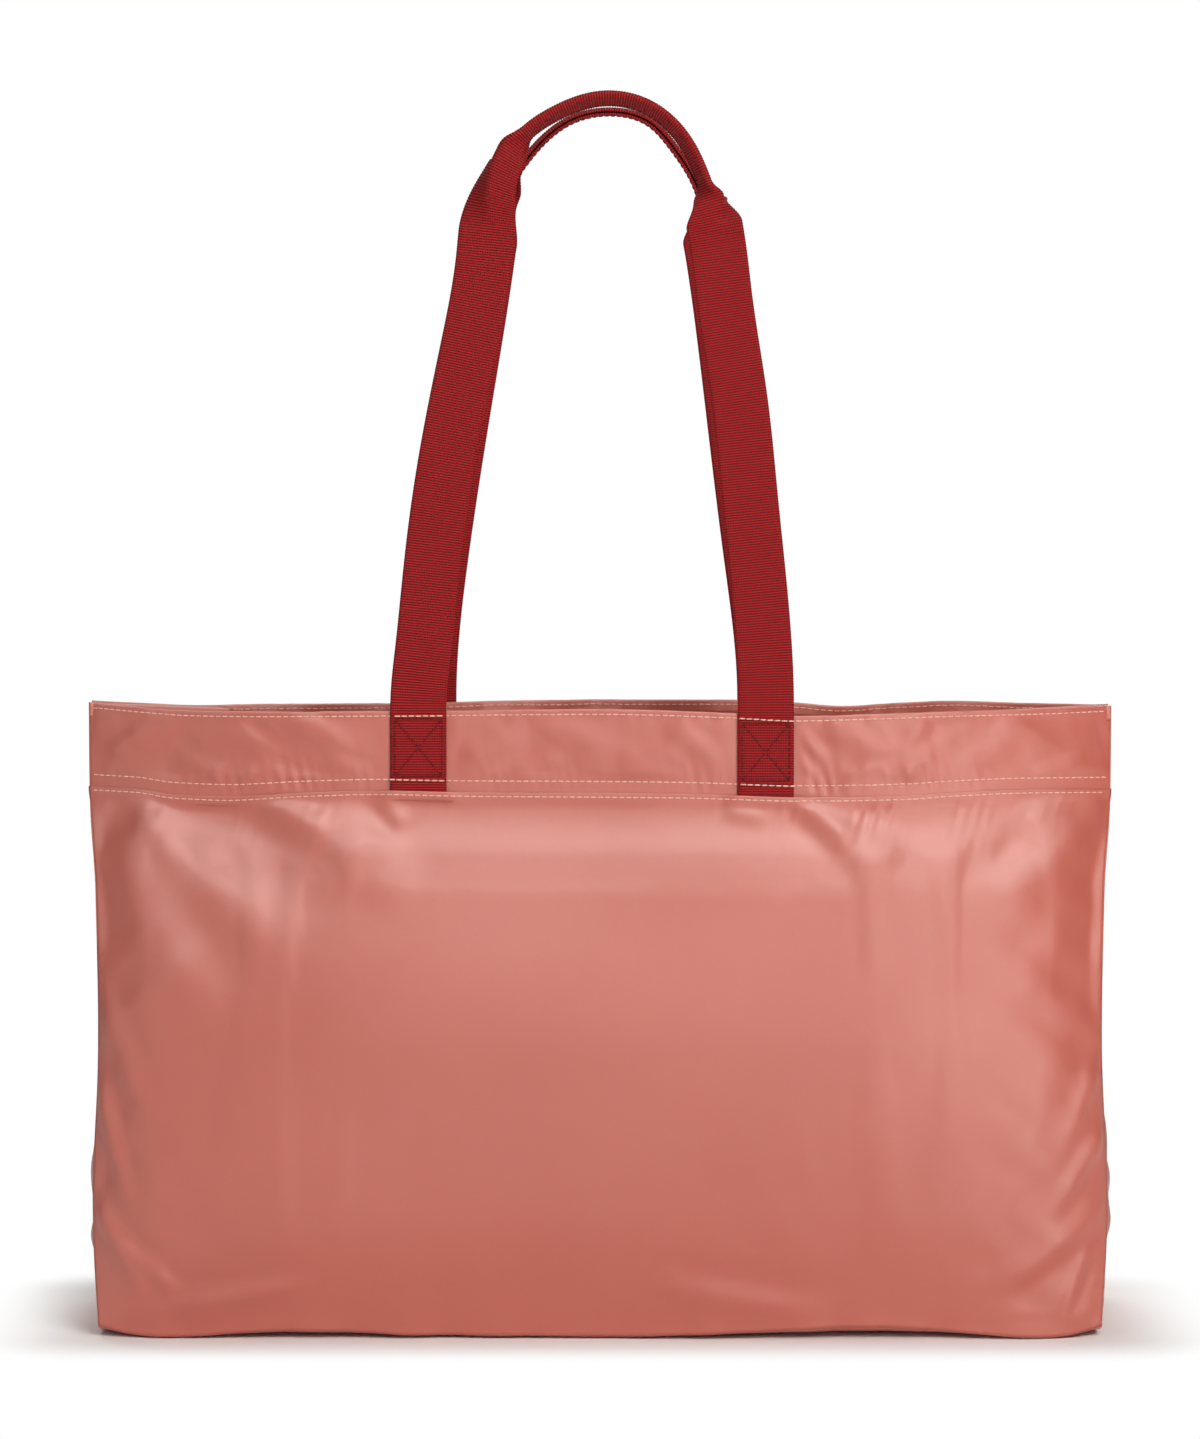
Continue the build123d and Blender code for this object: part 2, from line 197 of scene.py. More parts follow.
def sheet(name, grid, uv_grid, material, thickness=CLOTH, inward=1.0):
    """A closed cloth sheet: the grid, and the same grid a thickness further in."""
    rows, cols = grid.shape[:2]
    inner = grid - grid_normals(grid) * thickness * inward
    verts = np.concatenate((grid.reshape(-1, 3), inner.reshape(-1, 3)))
    faces = grid_faces(rows, cols, flip=inward < 0)
    faces += grid_faces(rows, cols, flip=inward > 0, start=rows * cols)
    top = list(range(cols))
    right = [i * cols + cols - 1 for i in range(1, rows)]
    bottom = [(rows - 1) * cols + j for j in range(cols - 2, -1, -1)]
    left = [i * cols for i in range(rows - 2, 0, -1)]
    loop = top + right + bottom + left
    offset = rows * cols
    for a, b in zip(loop, loop[1:] + loop[:1]):
        quad = [b, a, a + offset, b + offset]
        faces.append(quad if inward > 0 else quad[::-1])
    uvs = np.concatenate((uv_grid.reshape(-1, 2),) * 2)
    return add_object(name, verts, faces, material, uvs)


# ---------------------------------------------------------------- materials

class Graph:
    """Short ways to add nodes to a node tree; each gives the new node's output socket."""

    def __init__(self, tree):
        self.nodes, self.links = tree.nodes, tree.links

    def feed(self, socket, value):
        """Links an input to another node's output, or sets it to a number."""
        if isinstance(value, bpy.types.NodeSocket):
            self.links.new(value, socket)
        else:
            socket.default_value = value

    def add(self, kind, output, inputs=None, **settings):
        """A node of a kind with its inputs and settings filled in."""
        node = self.nodes.new("ShaderNode" + kind)
        for key, value in settings.items():
            setattr(node, key, value)
        for key, value in (inputs or {}).items():
            self.feed(node.inputs[key], value)
        return node.outputs[output]

    def math(self, operation, *values):
        return self.add("Math", 0, dict(enumerate(values)), operation=operation)

    def split(self, vector):
        """The outputs X, Y and Z of a vector."""
        return self.add("SeparateXYZ", "X", {0: vector}).node.outputs

    def cloth_uv(self):
        """The cloth's own coordinates in metres, together and as u and v."""
        uv = self.add("UVMap", "UV", uv_map="cloth")
        return uv, *self.split(uv)[:2]

    def wave(self, coordinate, pitch):
        """A sine of the coordinate with the given pitch in metres, from -1 to 1."""
        return self.math("SINE", self.math("MULTIPLY", coordinate, 2 * math.pi / pitch))

    def noise(self, vector, scale, detail=3.0, roughness=0.5):
        """Soft noise from 0 to 1, with about that many features to the metre."""
        inputs = {"Vector": vector, "Scale": scale, "Detail": detail, "Roughness": roughness}
        return self.add("TexNoise", "Fac", inputs)

    def ramp(self, factor, low, high, start=0.0, end=1.0):
        """The colour low up to start, high from end on, and a blend between."""
        node = self.nodes.new("ShaderNodeValToRGB")
        for element, place, colour in zip(node.color_ramp.elements, (start, end), (low, high)):
            element.position = place
            element.color = (*colour, 1)
        self.links.new(factor, node.inputs[0])
        return node.outputs["Color"]

    def bump(self, height, distance, strength=1.0, **after):
        """A surface direction bent by a height; Normal=socket puts it on top of another one."""
        inputs = {"Height": height, "Distance": distance, "Strength": strength, **after}
        return self.add("Bump", "Normal", inputs)


def principled(name, roughness, metallic=0.0, specular=0.5):
    """A new material, its graph, and the inputs of its shader."""
    material = bpy.data.materials.new(name)
    material.use_nodes = True
    graph = Graph(material.node_tree)
    shader = graph.nodes["Principled BSDF"].inputs
    shader["Roughness"].default_value = roughness
    shader["Metallic"].default_value = metallic
    shader["Specular IOR Level"].default_value = specular
    shader["IOR"].default_value = 1.55
    return material, graph, shader


def nylon_material(name, low, high, roughness, specular):
    """Plain-weave nylon: fine crossing yarns, a faint crinkle and slow changes of colour."""
    material, graph, shader = principled(name, roughness, specular=specular)
    shader["Coat Weight"].default_value = 0.4
    shader["Coat Roughness"].default_value = 0.36
    uv, u, v = graph.cloth_uv()
    yarns = graph.math("MULTIPLY", graph.wave(u, 0.00042), graph.wave(v, 0.00046))
    slow = graph.noise(uv, 9.0, 2.0)
    tone = graph.math("MULTIPLY_ADD", graph.noise(uv, 900.0, 1.0), 0.25, slow)
    graph.feed(shader["Base Color"], graph.ramp(tone, low, high, 0.3, 0.95))
    crinkle = graph.bump(graph.noise(uv, 70.0, 3.0, 0.55), 0.0006, 0.35)
    graph.feed(shader["Normal"], graph.bump(yarns, 0.00004, 0.5, Normal=crinkle))
    graph.feed(shader["Roughness"], graph.math("MULTIPLY_ADD", slow, 0.12, roughness - 0.06))
    return material


def webbing_material(name, groove_shade, crest_highlight):
    """Grosgrain webbing: the ribs are in the mesh, with a painted highlight on their crests and painted
    shade between.
    """
    material, graph, shader = principled(name, 0.75, specular=0.12)
    uv, u, v = graph.cloth_uv()
    column = graph.wave(u, 0.00105)
    # painted highlight and shade: a wave along the webbing, lighter on each rib's crest, darker in the
    # grooves
    light = graph.math("MULTIPLY_ADD", graph.wave(v, RIB_PITCH * MM), 0.42, 0.5)
    weave_and_painted_rib_light = graph.math("MULTIPLY_ADD", column, 0.09, light)
    fibre = graph.noise(uv, 1500.0, 2.0)
    tone = graph.math("MULTIPLY_ADD", fibre, 0.2, weave_and_painted_rib_light)
    graph.feed(shader["Base Color"], graph.ramp(tone, groove_shade, crest_highlight, 0.1, 1.1))
    height = graph.math("MULTIPLY_ADD", column, 0.4, fibre)
    graph.feed(shader["Normal"], graph.bump(height, 0.00012, 0.6))
    return material


def grained_material(name, low, high, roughness, scale, detail, depth, strength, **surface):
    """One colour that varies with a fine grain, which also roughens the surface."""
    material, graph, shader = principled(name, roughness, **surface)
    grain = graph.noise(graph.add("TexCoord", "Object"), scale, detail)
    graph.feed(shader["Base Color"], graph.ramp(grain, low, high, 0.3, 0.7))
    graph.feed(shader["Normal"], graph.bump(grain, depth, strength))
    return material


def thread_material(name, low, high):
    """Twisted sewing thread."""
    return grained_material(name, low, high, 0.6, 2500.0, 2.0, 0.0001, 0.5, specular=0.2)


def metal_material(name, low, high, roughness):
    """Satin cast metal with a fine tumbled grain."""
    return grained_material(name, low, high, roughness, 1800.0, 3.0, 0.00005, 0.4, metallic=1.0)


NYLON = nylon_material("satin_nylon", (0.490, 0.088, 0.054), (0.530, 0.107, 0.067), 0.42, 1.0)
LINING = nylon_material("nylon_inside", (0.42, 0.095, 0.066), (0.48, 0.118, 0.084), 0.6, 0.35)
# the dark colour is painted shade in the rib grooves, the light one a painted highlight on the crests
WEBBING = webbing_material("grosgrain_webbing", (0.085, 0.002, 0.003), (0.39, 0.017, 0.019))
PALE_THREAD = thread_material("pale_thread", (0.78, 0.42, 0.33), (0.93, 0.66, 0.56))
RED_THREAD = thread_material("red_thread", (0.075, 0.003, 0.005), (0.15, 0.007, 0.009))
ZIP_TAPE = nylon_material("zip_tape", (0.30, 0.05, 0.045), (0.38, 0.075, 0.065), 0.7, 0.3)
ZIP_COIL = thread_material("zip_coil", (0.26, 0.03, 0.03), (0.36, 0.05, 0.048))
ZIP_METAL = metal_material("zip_metal", (0.42, 0.41, 0.40), (0.58, 0.57, 0.55), 0.34)
LABEL = nylon_material("label_satin", (0.74, 0.73, 0.69), (0.82, 0.81, 0.78), 0.5, 0.4)


# ---------------------------------------------------------------- the shell of the bag

ROW_STEP = 4.0
WALL_SEGMENTS = 118
GUSSET_SEGMENTS = 32
RING = 2 * (WALL_SEGMENTS + GUSSET_SEGMENTS)
levels = np.linspace(0, RIM_Z, int(round(RIM_Z / ROW_STEP)) + 1)

# How far the lower edge of each wall stands off the floor, along its length.
HEM_FRONT = ((-228, 5.0), (-214, 1.2), (-196, 0.2), (-140, 3.0), (-70, 0.8), (0, 0.6),
             (70, 3.2), (118, 5.2), (165, 2.6), (200, 0.2), (214, 1.0), (228, 4.6))
HEM_REAR = ((-228, 4.4), (-212, 0.8), (-180, 0.3), (-90, 4.4), (-20, 1.4), (60, 0.3),
            (130, 2.8), (190, 0.3), (214, 1.4), (228, 4.8))
HEM_FADE = 45.0         # height at which the lower edge's lifting has died out
HEM_REACH = 9.0         # how far the lifting reaches under the base

# How far the rim and the seam under the band wander from level, along each wall.
RIM_FRONT = ((-236, 1.6), (-182, -1.0), (-96, -0.5), (0, 0.4), (63, -1.4), (90, -2.7), (122, -1.9),
             (158, -1.0), (200, -0.6), (236, 0.0))
RIM_REAR = ((-236, 1.6), (-182, -1.4), (-100, -1.5), (-50, -0.4), (0, 0.4), (60, 0.3), (90, -0.9),
            (115, -2.6), (142, -1.0), (165, 0.1), (200, -0.2), (236, 0.0))
SEAM_FRONT = ((-235, 0.5), (-213, 0.0), (-195, -2.2), (-170, -2.8), (-152, -1.8), (-134, -0.6),
              (-99, 0.5), (-85, 0.2), (-60, -0.4), (0, -0.8), (40, -1.2), (63, -1.9), (88, -2.6),
              (119, -2.4), (143, -1.8), (159, -0.8), (190, 0.1), (235, -0.7))
SEAM_REAR = ((-235, 0.5), (-190, -1.6), (-150, -2.3), (-110, -0.6), (-60, 0.2), (0, -0.7), (66, -1.0),
             (104, -2.2), (140, -1.2), (186, -0.2), (235, -0.7))
WANDER_FROM = 170.0     # height where the wandering begins
GUSSET_DIP = 3.0        # how far the gussets' middle fold hangs below the rim's corners

# How far the side seams are rounded off at the heights of the sections.
ROUNDING = (5.0, 10.0, 11.0, 7.5, 1.5, 0.8)
ROUNDING_REACH = 34.0


def level_at(x, knots):
    """Height at x along an edge that is given by its places and heights."""
    places, heights = zip(*knots)
    return hermite(np.clip(x, places[0], places[-1]), places, heights)


def wander(x, z, side):
    """How far a point of a wall near its top is moved up or down."""
    rim, seam = (RIM_FRONT, SEAM_FRONT) if side < 0 else (RIM_REAR, SEAM_REAR)
    share = np.clip((z - SEAM_Z) / (RIM_Z - SEAM_Z), 0, 1)
    level = level_at(x, seam) * (1 - share) + level_at(x, rim) * share
    return level * smooth((z - WANDER_FROM) / (SEAM_Z - WANDER_FROM))


def section(z):
    """The sizes of the outline at height z."""
    values = [hermite(np.array([z]), SECTIONS[:, 0], SECTIONS[:, c])[0] for c in range(1, 6)]
    return values + [hermite(np.array([z]), SECTIONS[:, 0], ROUNDING)[0]]


def wall_points(z, u, side):
    """Points of a wall at height z; u runs from -1 at the left corner to 1 at the right one."""
    half, corner, centre, flat, _, rounding = section(z)
    x = half * u
    beyond = np.maximum(np.abs(x) - flat, 0) / (half - flat)
    turned = np.maximum(np.abs(x) - half + ROUNDING_REACH, 0) / ROUNDING_REACH
    y = side * (centre - (centre - corner) * beyond ** 2 - rounding * turned ** 2.2)
    lift = level_at(x, HEM_FRONT if side < 0 else HEM_REAR) * (1 - smooth(z / HEM_FADE))
    return np.stack((x, y, z + lift + wander(x, z, side)), axis=-1)


def gusset_points(z, g, side):
    """Points of a gusset at height z; g runs from -1 at the front corner to 1 at the rear one."""
    half, corner, _, _, crease, rounding = section(z)
    x = side * (half - crease * (1 - np.abs(g)))
    y = g * (corner - rounding)
    front_lift = level_at(side * BASE_HALF_LENGTH, HEM_FRONT)
    rear_lift = level_at(side * BASE_HALF_LENGTH, HEM_REAR)
    corner_lift = np.where(g < 0, front_lift, rear_lift) * np.abs(g) ** 6
    front_top, rear_top = wander(side * half, z, -1), wander(side * half, z, 1)
    dip = GUSSET_DIP * (1 - np.abs(g)) * smooth((z - SEAM_Z) / 30)
    top = front_top + (rear_top - front_top) * (g + 1) / 2 - dip
    return np.stack((x, y, z + corner_lift * (1 - smooth(z / HEM_FADE)) + top), axis=-1)


def ring_at(z):
    """The bag's outline at height z: front, right gusset, rear and left gusset, as one loop."""
    u = np.linspace(-1, 1, WALL_SEGMENTS + 1)[:-1]
    g = np.linspace(-1, 1, GUSSET_SEGMENTS + 1)[:-1]
    return np.concatenate((wall_points(z, u, -1), gusset_points(z, g, 1),
                           wall_points(z, -u, 1), gusset_points(z, -g, -1)))


def base_points(front, rear):
    """The base between the lower edges of the two walls, sinking to the floor away from them."""
    share = np.linspace(0, 1, FINER * GUSSET_SEGMENTS + 1)[:, None]
    grid = front[None] * (1 - share[..., None]) + rear[None] * share[..., None]
    depth = 2 * BASE_HALF_DEPTH
    near_front = front[None, :, 2] * np.exp(-share * depth / HEM_REACH)
    near_rear = rear[None, :, 2] * np.exp(-(1 - share) * depth / HEM_REACH)
    grid[..., 2] = near_front + near_rear
    return grid


FILLING = 0.06          # how firmly the stuffing holds the walls out
SPARE_CLOTH = 0.012     # share of extra width cut into the walls
SPARE_HEIGHT = 0.004
FILL_PRESSURE = 3.0
SIM_FRAMES = 24
MAX_MOVE = 1.5          # furthest that a wrinkle stands out
WRINKLE_SHARE = 0.5     # how much of the simulated wrinkling is kept
SAG_REACH = 9           # grid steps over which the even part of the simulated move is taken out


def blurred(values, reach):
    """The values of the ring averaged over neighbours, three times over."""
    window = 2 * reach + 1
    for _ in range(3):
        around = np.concatenate((values[:, -reach:], values, values[:, :reach]), axis=1)
        total = np.cumsum(np.concatenate((np.zeros_like(around[:, :1]), around), axis=1), axis=1)
        values = (total[:, window:] - total[:, :-window]) / window
        above = np.concatenate((-values[reach:0:-1], values, -values[-2:-reach - 2:-1]))
        total = np.cumsum(np.concatenate((np.zeros_like(above[:1]), above)), axis=0)
        values = (total[window:] - total[:-window]) / window
    return values


def simulate(ring):
    """Cloth simulation of the open shell: held along the band and the floor, filled and sagging."""
    rows = len(ring)
    count = rows * RING
    verts = ring.reshape(-1, 3) * MM
    mesh = bpy.data.meshes.new("sim")
    mesh.from_pydata(verts.tolist(), [], tube_faces(rows, RING)[:-2])
    shell = bpy.data.objects.new("sim", mesh)
    bpy.context.scene.collection.objects.link(shell)

    height = np.repeat(levels, RING)
    held = np.nonzero((height >= SEAM_Z - 1) | (height < 1))[0]
    pin = shell.vertex_groups.new(name="pin")
    pin.add(list(range(count)), FILLING, "REPLACE")
    pin.add([int(n) for n in held], 1.0, "REPLACE")
    on_wall = np.arange(RING) % (WALL_SEGMENTS + GUSSET_SEGMENTS) < WALL_SEGMENTS
    fill = shell.vertex_groups.new(name="fill")
    fill.add([int(n) for n in np.nonzero(np.tile(on_wall, rows))[0]], 1.0, "REPLACE")

    shell.shape_key_add(name="Basis")
    rest_key = shell.shape_key_add(name="cut")
    spare = SPARE_CLOTH * smooth(height / 40.0) * smooth((SEAM_Z + 8 - height) / 30.0)
    cut = verts.copy()
    cut[:, 0] *= 1 + spare
    cut[:, 1] *= 1 + spare * 0.5
    cut[:, 2] *= 1 + SPARE_HEIGHT
    rest_key.data.foreach_set("co", cut.astype(np.float32).ravel())

    cloth = shell.modifiers.new("cloth", "CLOTH")
    settings = cloth.settings
    settings.quality = 6
    settings.mass = 0.15
    settings.tension_stiffness = 25
    settings.compression_stiffness = 25
    settings.shear_stiffness = 8
    settings.bending_stiffness = 3.0
    settings.air_damping = 4
    settings.vertex_group_mass = "pin"
    settings.use_pressure = True
    settings.uniform_pressure_force = FILL_PRESSURE
    settings.vertex_group_pressure = "fill"
    settings.rest_shape_key = rest_key
    settings.effector_weights.gravity = 0.4
    cloth.collision_settings.use_collision = False
    cloth.collision_settings.use_self_collision = False
    cloth.point_cache.frame_start = 1
    cloth.point_cache.frame_end = SIM_FRAMES
    scene = bpy.context.scene
    for number in range(1, SIM_FRAMES + 1):
        scene.frame_set(number)
    evaluated = shell.evaluated_get(bpy.context.evaluated_depsgraph_get())
    points = np.zeros(count * 3, np.float32)
    evaluated.data.vertices.foreach_get("co", points)
    points = points.reshape(ring.shape).astype(float) / MM
    bpy.data.objects.remove(shell)
    scene.frame_set(1)
    moved = points - ring
    moved -= blurred(moved, SAG_REACH)
    free = smooth((SEAM_Z - levels) / 30.0) * smooth(levels / 16.0)
    free = free * (0.4 + 0.6 * smooth((levels - 120) / 80))
    free *= WRINKLE_SHARE
    distance = np.linalg.norm(moved, axis=-1, keepdims=True)
    return ring + moved * np.minimum(1, MAX_MOVE / np.maximum(distance, 1e-9)) * free[:, None, None]


shell = np.stack([ring_at(z) for z in levels])
shell = simulate(shell)
closed = np.concatenate((shell, shell[:, :1]), axis=1)

# The corners' columns, going round from the front left one, and the four sheets between them.
CORNERS = np.cumsum((0, WALL_SEGMENTS, GUSSET_SEGMENTS, WALL_SEGMENTS, GUSSET_SEGMENTS)).tolist()
FRONT_COLUMNS, RIGHT_COLUMNS, REAR_COLUMNS, LEFT_COLUMNS = (
    slice(start, end + 1) for start, end in zip(CORNERS, CORNERS[1:]))


# ---------------------------------------------------------------- folds and puckers

def crease(x, z, start, end, height, width):
    """Height of a fold along a run from start to end, fading at both ends, with a dip beside it."""
    (x0, z0), (x1, z1) = start, end
    length = math.hypot(x1 - x0, z1 - z0)
    ax, az = (x1 - x0) / length, (z1 - z0) / length
    along = ((x - x0) * ax + (z - z0) * az) / length
    aside = ((x - x0) * -az + (z - z0) * ax) / width
    fade = smooth((along + 0.15) / 0.35) * smooth((1.15 - along) / 0.55)
    return height * fade * (1 - 1.1 * aside - 0.6 * aside ** 2) * np.exp(-aside ** 2)


def ripple(x, seed, low, high, waves=14):
    """A smooth irregular wave along x with wavelengths between low and high, about -1 to 1."""
    rng = np.random.default_rng(seed)
    pitch = np.exp(rng.uniform(math.log(low), math.log(high), waves))
    phase = rng.uniform(0, 2 * math.pi, waves)
    total = sum(np.sin(2 * math.pi * x / p + q) for p, q in zip(pitch, phase))
    return total / math.sqrt(waves / 2) / 1.6


def drift(x, z, seed, size, waves=16):
    """A smooth irregular field over x and z with features of about the given size."""
    rng = np.random.default_rng(seed)
    total = np.zeros(np.broadcast(x, z).shape)
    for _ in range(waves):
        angle, phase = rng.uniform(0, math.pi), rng.uniform(0, 2 * math.pi)
        pitch = size * rng.uniform(0.7, 1.6)
        total += np.sin(2 * math.pi * (x * math.cos(angle) + z * math.sin(angle)) / pitch + phase)
    return total / math.sqrt(waves / 2) / 1.6


# Folds of the front panel: start, end, height and width.
FRONT_FOLDS = (
    ((-126, 226), (-163, 247), 2.2, 9.0),
    ((-112, 208), (-152, 238), 1.6, 15.0),
    ((-90, 230), (-103, 246), 1.1, 6.0),
    ((-204, 238), (-140, 176), 2.6, 19.0),
    ((-218, 224), (-172, 146), 2.2, 17.0),
    ((-212, 246), (-186, 212), 1.5, 11.0),
    ((-120, 244), (-84, 200), 1.3, 14.0),
    ((112, 224), (86, 246), 1.6, 7.5),
    ((58, 241), (76, 237), 0.8, 5.0),
    ((100, 243), (144, 210), 1.1, 13.0),
    ((230, 236), (172, 176), 2.8, 17.0),
    ((226, 200), (184, 150), 1.8, 15.0),
    ((216, 246), (190, 222), 1.1, 11.0),
    ((-226, 158), (-200, 96), 1.2, 7.0),
    ((-228, 120), (-212, 60), 1.5, 5.0),
    ((-226, 60), (-205, 20), 1.7, 6.0),
    ((-190, 16), (-132, 26), 1.5, 7.0),
    ((-215, 44), (-190, 22), 1.2, 5.0),
    ((226, 124), (210, 84), 1.3, 5.0),
    ((228, 92), (206, 56), 1.5, 5.0),
    ((227, 56), (180, 20), 1.5, 7.0),
    ((222, 40), (210, 10), 1.2, 4.0),
    ((30, 26), (100, 10), 1.0, 9.0),
)
FRONT_BAND_FOLDS = (
    ((-226, 262), (-206, 278), 0.9, 6.0),
    ((-196, 280), (-210, 262), 0.8, 8.0),
    ((-193, 264), (-170, 256), 0.7, 5.0),
    ((-178, 254), (-171, 263), 0.6, 2.6),
    ((-164, 254), (-157, 261), 0.6, 2.6),
    ((-172, 279), (-146, 266), 1.0, 6.0),
    ((-150, 259), (-128, 254), 0.7, 4.0),
    ((-136, 281), (-112, 269), 1.1, 7.0),
    ((-124, 262), (-104, 256), 0.7, 5.0),
    ((-66, 282), (-72, 256), 0.8, 5.0),
    ((-62, 264), (-34, 276), 1.0, 7.0),
    ((-40, 256), (-16, 266), 0.7, 6.0),
    ((-28, 280), (6, 269), 0.9, 8.0),
    ((10, 262), (44, 273), 0.9, 9.0),
    ((34, 280), (56, 262), 0.8, 7.0),
    ((91, 277), (104, 264), 0.8, 3.6),
    ((91, 266), (98, 255), 0.7, 3.0),
    ((112, 256), (124, 262), 0.6, 3.0),
    ((104, 281), (132, 267), 0.9, 7.0),
    ((136, 258), (152, 268), 0.8, 6.0),
    ((150, 281), (138, 264), 0.8, 6.0),
    ((164, 261), (190, 271), 0.9, 7.0),
    ((184, 281), (210, 267), 0.9, 8.0),
    ((200, 256), (224, 262), 0.7, 5.0),
)
REAR_BAND_FOLDS = (
    ((-222, 264), (-204, 276), 0.8, 4.0),
    ((-196, 256), (-180, 268), 0.9, 3.0),
    ((-168, 280), (-150, 266), 0.9, 5.0),
    ((-140, 256), (-122, 262), 0.8, 3.0),
    ((-110, 280), (-98, 262), 0.8, 4.0),
    ((-60, 262), (-34, 274), 0.9, 6.0),
    ((-20, 280), (10, 266), 0.8, 7.0),
    ((24, 256), (46, 268), 0.8, 5.0),
    ((96, 258), (112, 270), 1.0, 3.0),
    ((124, 280), (140, 262), 0.9, 4.0),
    ((156, 256), (178, 266), 0.8, 4.0),
    ((196, 280), (214, 262), 0.8, 5.0),
)
REAR_FOLDS = (
    ((-170, 246), (-138, 220), 1.8, 7.0),
    ((-214, 240), (-168, 190), 2.0, 12.0),
    ((-100, 246), (-84, 228), 1.4, 5.0),
    ((-60, 246), (-20, 220), 1.0, 10.0),
    ((92, 246), (120, 222), 1.7, 6.0),
    ((150, 244), (128, 200), 1.5, 11.0),
    ((220, 236), (170, 180), 2.2, 12.0),
    ((-226, 150), (-204, 90), 1.4, 6.0),
    ((-227, 70), (-200, 26), 1.6, 6.0),
    ((-200, 30), (-130, 16), 1.2, 8.0),
    ((226, 130), (206, 70), 1.4, 6.0),
    ((227, 64), (190, 18), 1.6, 7.0),
    ((20, 18), (90, 30), 1.0, 9.0),
)


def panel_relief(x, z, folds, seed):
    """How far a large panel's cloth stands out from its smooth shape."""
    below = SEAM_Z - z
    relief = sum(crease(x, z, *fold) for fold in folds)
    gathers = ridged(ripple(x + below * 0.35, seed, 11, 30)) * np.exp(-below / 10.0) * gathered(x)
    gathers *= smooth(0.5 + 0.9 * ripple(x, seed + 7, 30, 90))
    drag = ripple(x + below * 0.5, seed + 1, 30, 90) * np.exp(-below / 34.0) * smooth(below / 6.0)
    slow = drift(x, z, seed + 2, 150.0)
    side = smooth((np.abs(x) - 150) / 70)
    tucks = ripple(z + np.abs(x) * 0.8, seed + 3, 24, 70) * side
    hem = ripple(x, seed + 4, 22, 80) * np.exp(-z / 12.0)
    crumple = ridged(drift(x * 0.8, z, seed + 5, 60.0)) * smooth((below - 110) / 60.0) * side
    top = drift(x - z * 0.6, z * 0.7, seed + 6, 60.0) * np.exp(-(below / 34.0) ** 2) * gathered(x)
    return (relief + 0.6 * gathers + 0.4 * drag + 1.2 * slow + 0.6 * tucks + 0.5 * hem + 0.4 * crumple
            + 0.7 * top)


def ridged(field):
    """Turns a smooth wave of about -1 to 1 into one with narrow creases between soft swells."""
    return 1 - 2 * np.sqrt(field ** 2 + 0.02)


def gathered(x):
    """Where along the wall the cloth is gathered into its seam: near the strap ends and the corners."""
    return 0.3 + 0.9 * np.exp(-((x + 155) / 48) ** 2) + 0.9 * np.exp(-((x - 122) / 55) ** 2)


def band_relief(x, z, folds, seed):
    """The top band's creases: puckers at both rows of stitching and slanting folds between."""
    above, below = z - STITCH_Z["band_stitching"], RIM_Z - z
    inside = smooth(above / 5.0) * smooth(below / 7.0)
    relief = sum(crease(x, z, *fold) for fold in folds) * smooth(above / 2.5) * smooth(below / 4.0)
    puckers = ridged(ripple(x + above * 0.25, seed, 7, 20)) * np.exp(-np.abs(above) / 6.0) * gathered(x)
    rim = ripple(x - below * 0.2, seed + 1, 8, 26) * np.exp(-np.abs(below - 2) / 4.0)
    slant = drift(x * 0.8 + z * 0.6, z * 0.5, seed + 2, 44.0) * inside
    fine = ridged(drift(x * 0.9 + z * 0.7, z * 0.8, seed + 3, 20.0)) * inside * gathered(x)
    return relief + 0.36 * puckers + 0.16 * rim + 1.0 * slant + 0.15 * fine


def calm_at_straps(x, side):
    """Falls to nothing under the strap ends, where the webbing holds the cloth flat."""
    left, right = strap_centres(side)
    distance = np.minimum(np.abs(x - left), np.abs(x - right)) - WEB_WIDTH / 2
    return smooth(distance / 9.0)


def strap_centres(side):
    """Where a wall's left and right strap ends have their middle."""
    prefix = "front" if side < 0 else "rear"
    ends = [box_mm(f"{prefix}_handle_end_{hand}") for hand in ("left", "right")]
    return [float(low[0] + high[0]) / 2 for low, high in ends]


# ---------------------------------------------------------------- cloth pieces

LIP = 0.85              # how far the folded edge of a large panel stands proud of the band
STRAP_LIP = 1.5         # extra where it passes over a strap end
ROLL = 0.55             # radius of a folded edge
RIM_ROLL = 0.8
FACING_GAP = 0.3        # between a band and the facing behind it
RIM_TURN = 6.0          # depth of the hem turned in at the rim
SEAM_TURN = 4.0         # the same at the large panels' upper edge
FINER = 3               # finished mesh columns to each segment of the shell

PANEL_ROWS = np.concatenate((np.arange(0, 30, 1.8), np.arange(30, 214, 2.4),
                             np.arange(214, SEAM_Z - ROLL, 1.2)))
BAND_ROWS = np.arange(SEAM_Z - 3.5, RIM_Z - RIM_ROLL, 1.2)


def surface(columns, z_rows):
    """A finer grid of part of the shell."""
    part = closed[:, columns]
    cols = np.arange((part.shape[1] - 1) * FINER + 1) / FINER
    return resample(part, z_rows / (levels[1] - levels[0]), cols)


def rolled_edge(grid, radius, turn, steps=6, tail=3):
    """Carries a sheet over its top edge and down behind itself."""
    normal = grid_normals(grid)[-1]
    top = grid[-1]
    up = unit(grid[-1] - grid[-2])
    rows = []
    for angle in np.linspace(0, math.pi, steps + 1)[1:]:
        rows.append(top + normal * radius * (math.cos(angle) - 1) + up * radius * math.sin(angle))
    for depth in np.linspace(0, turn, tail + 1)[1:]:
        rows.append(rows[steps - 1] - up * depth)
    return np.concatenate((grid, np.stack(rows)))


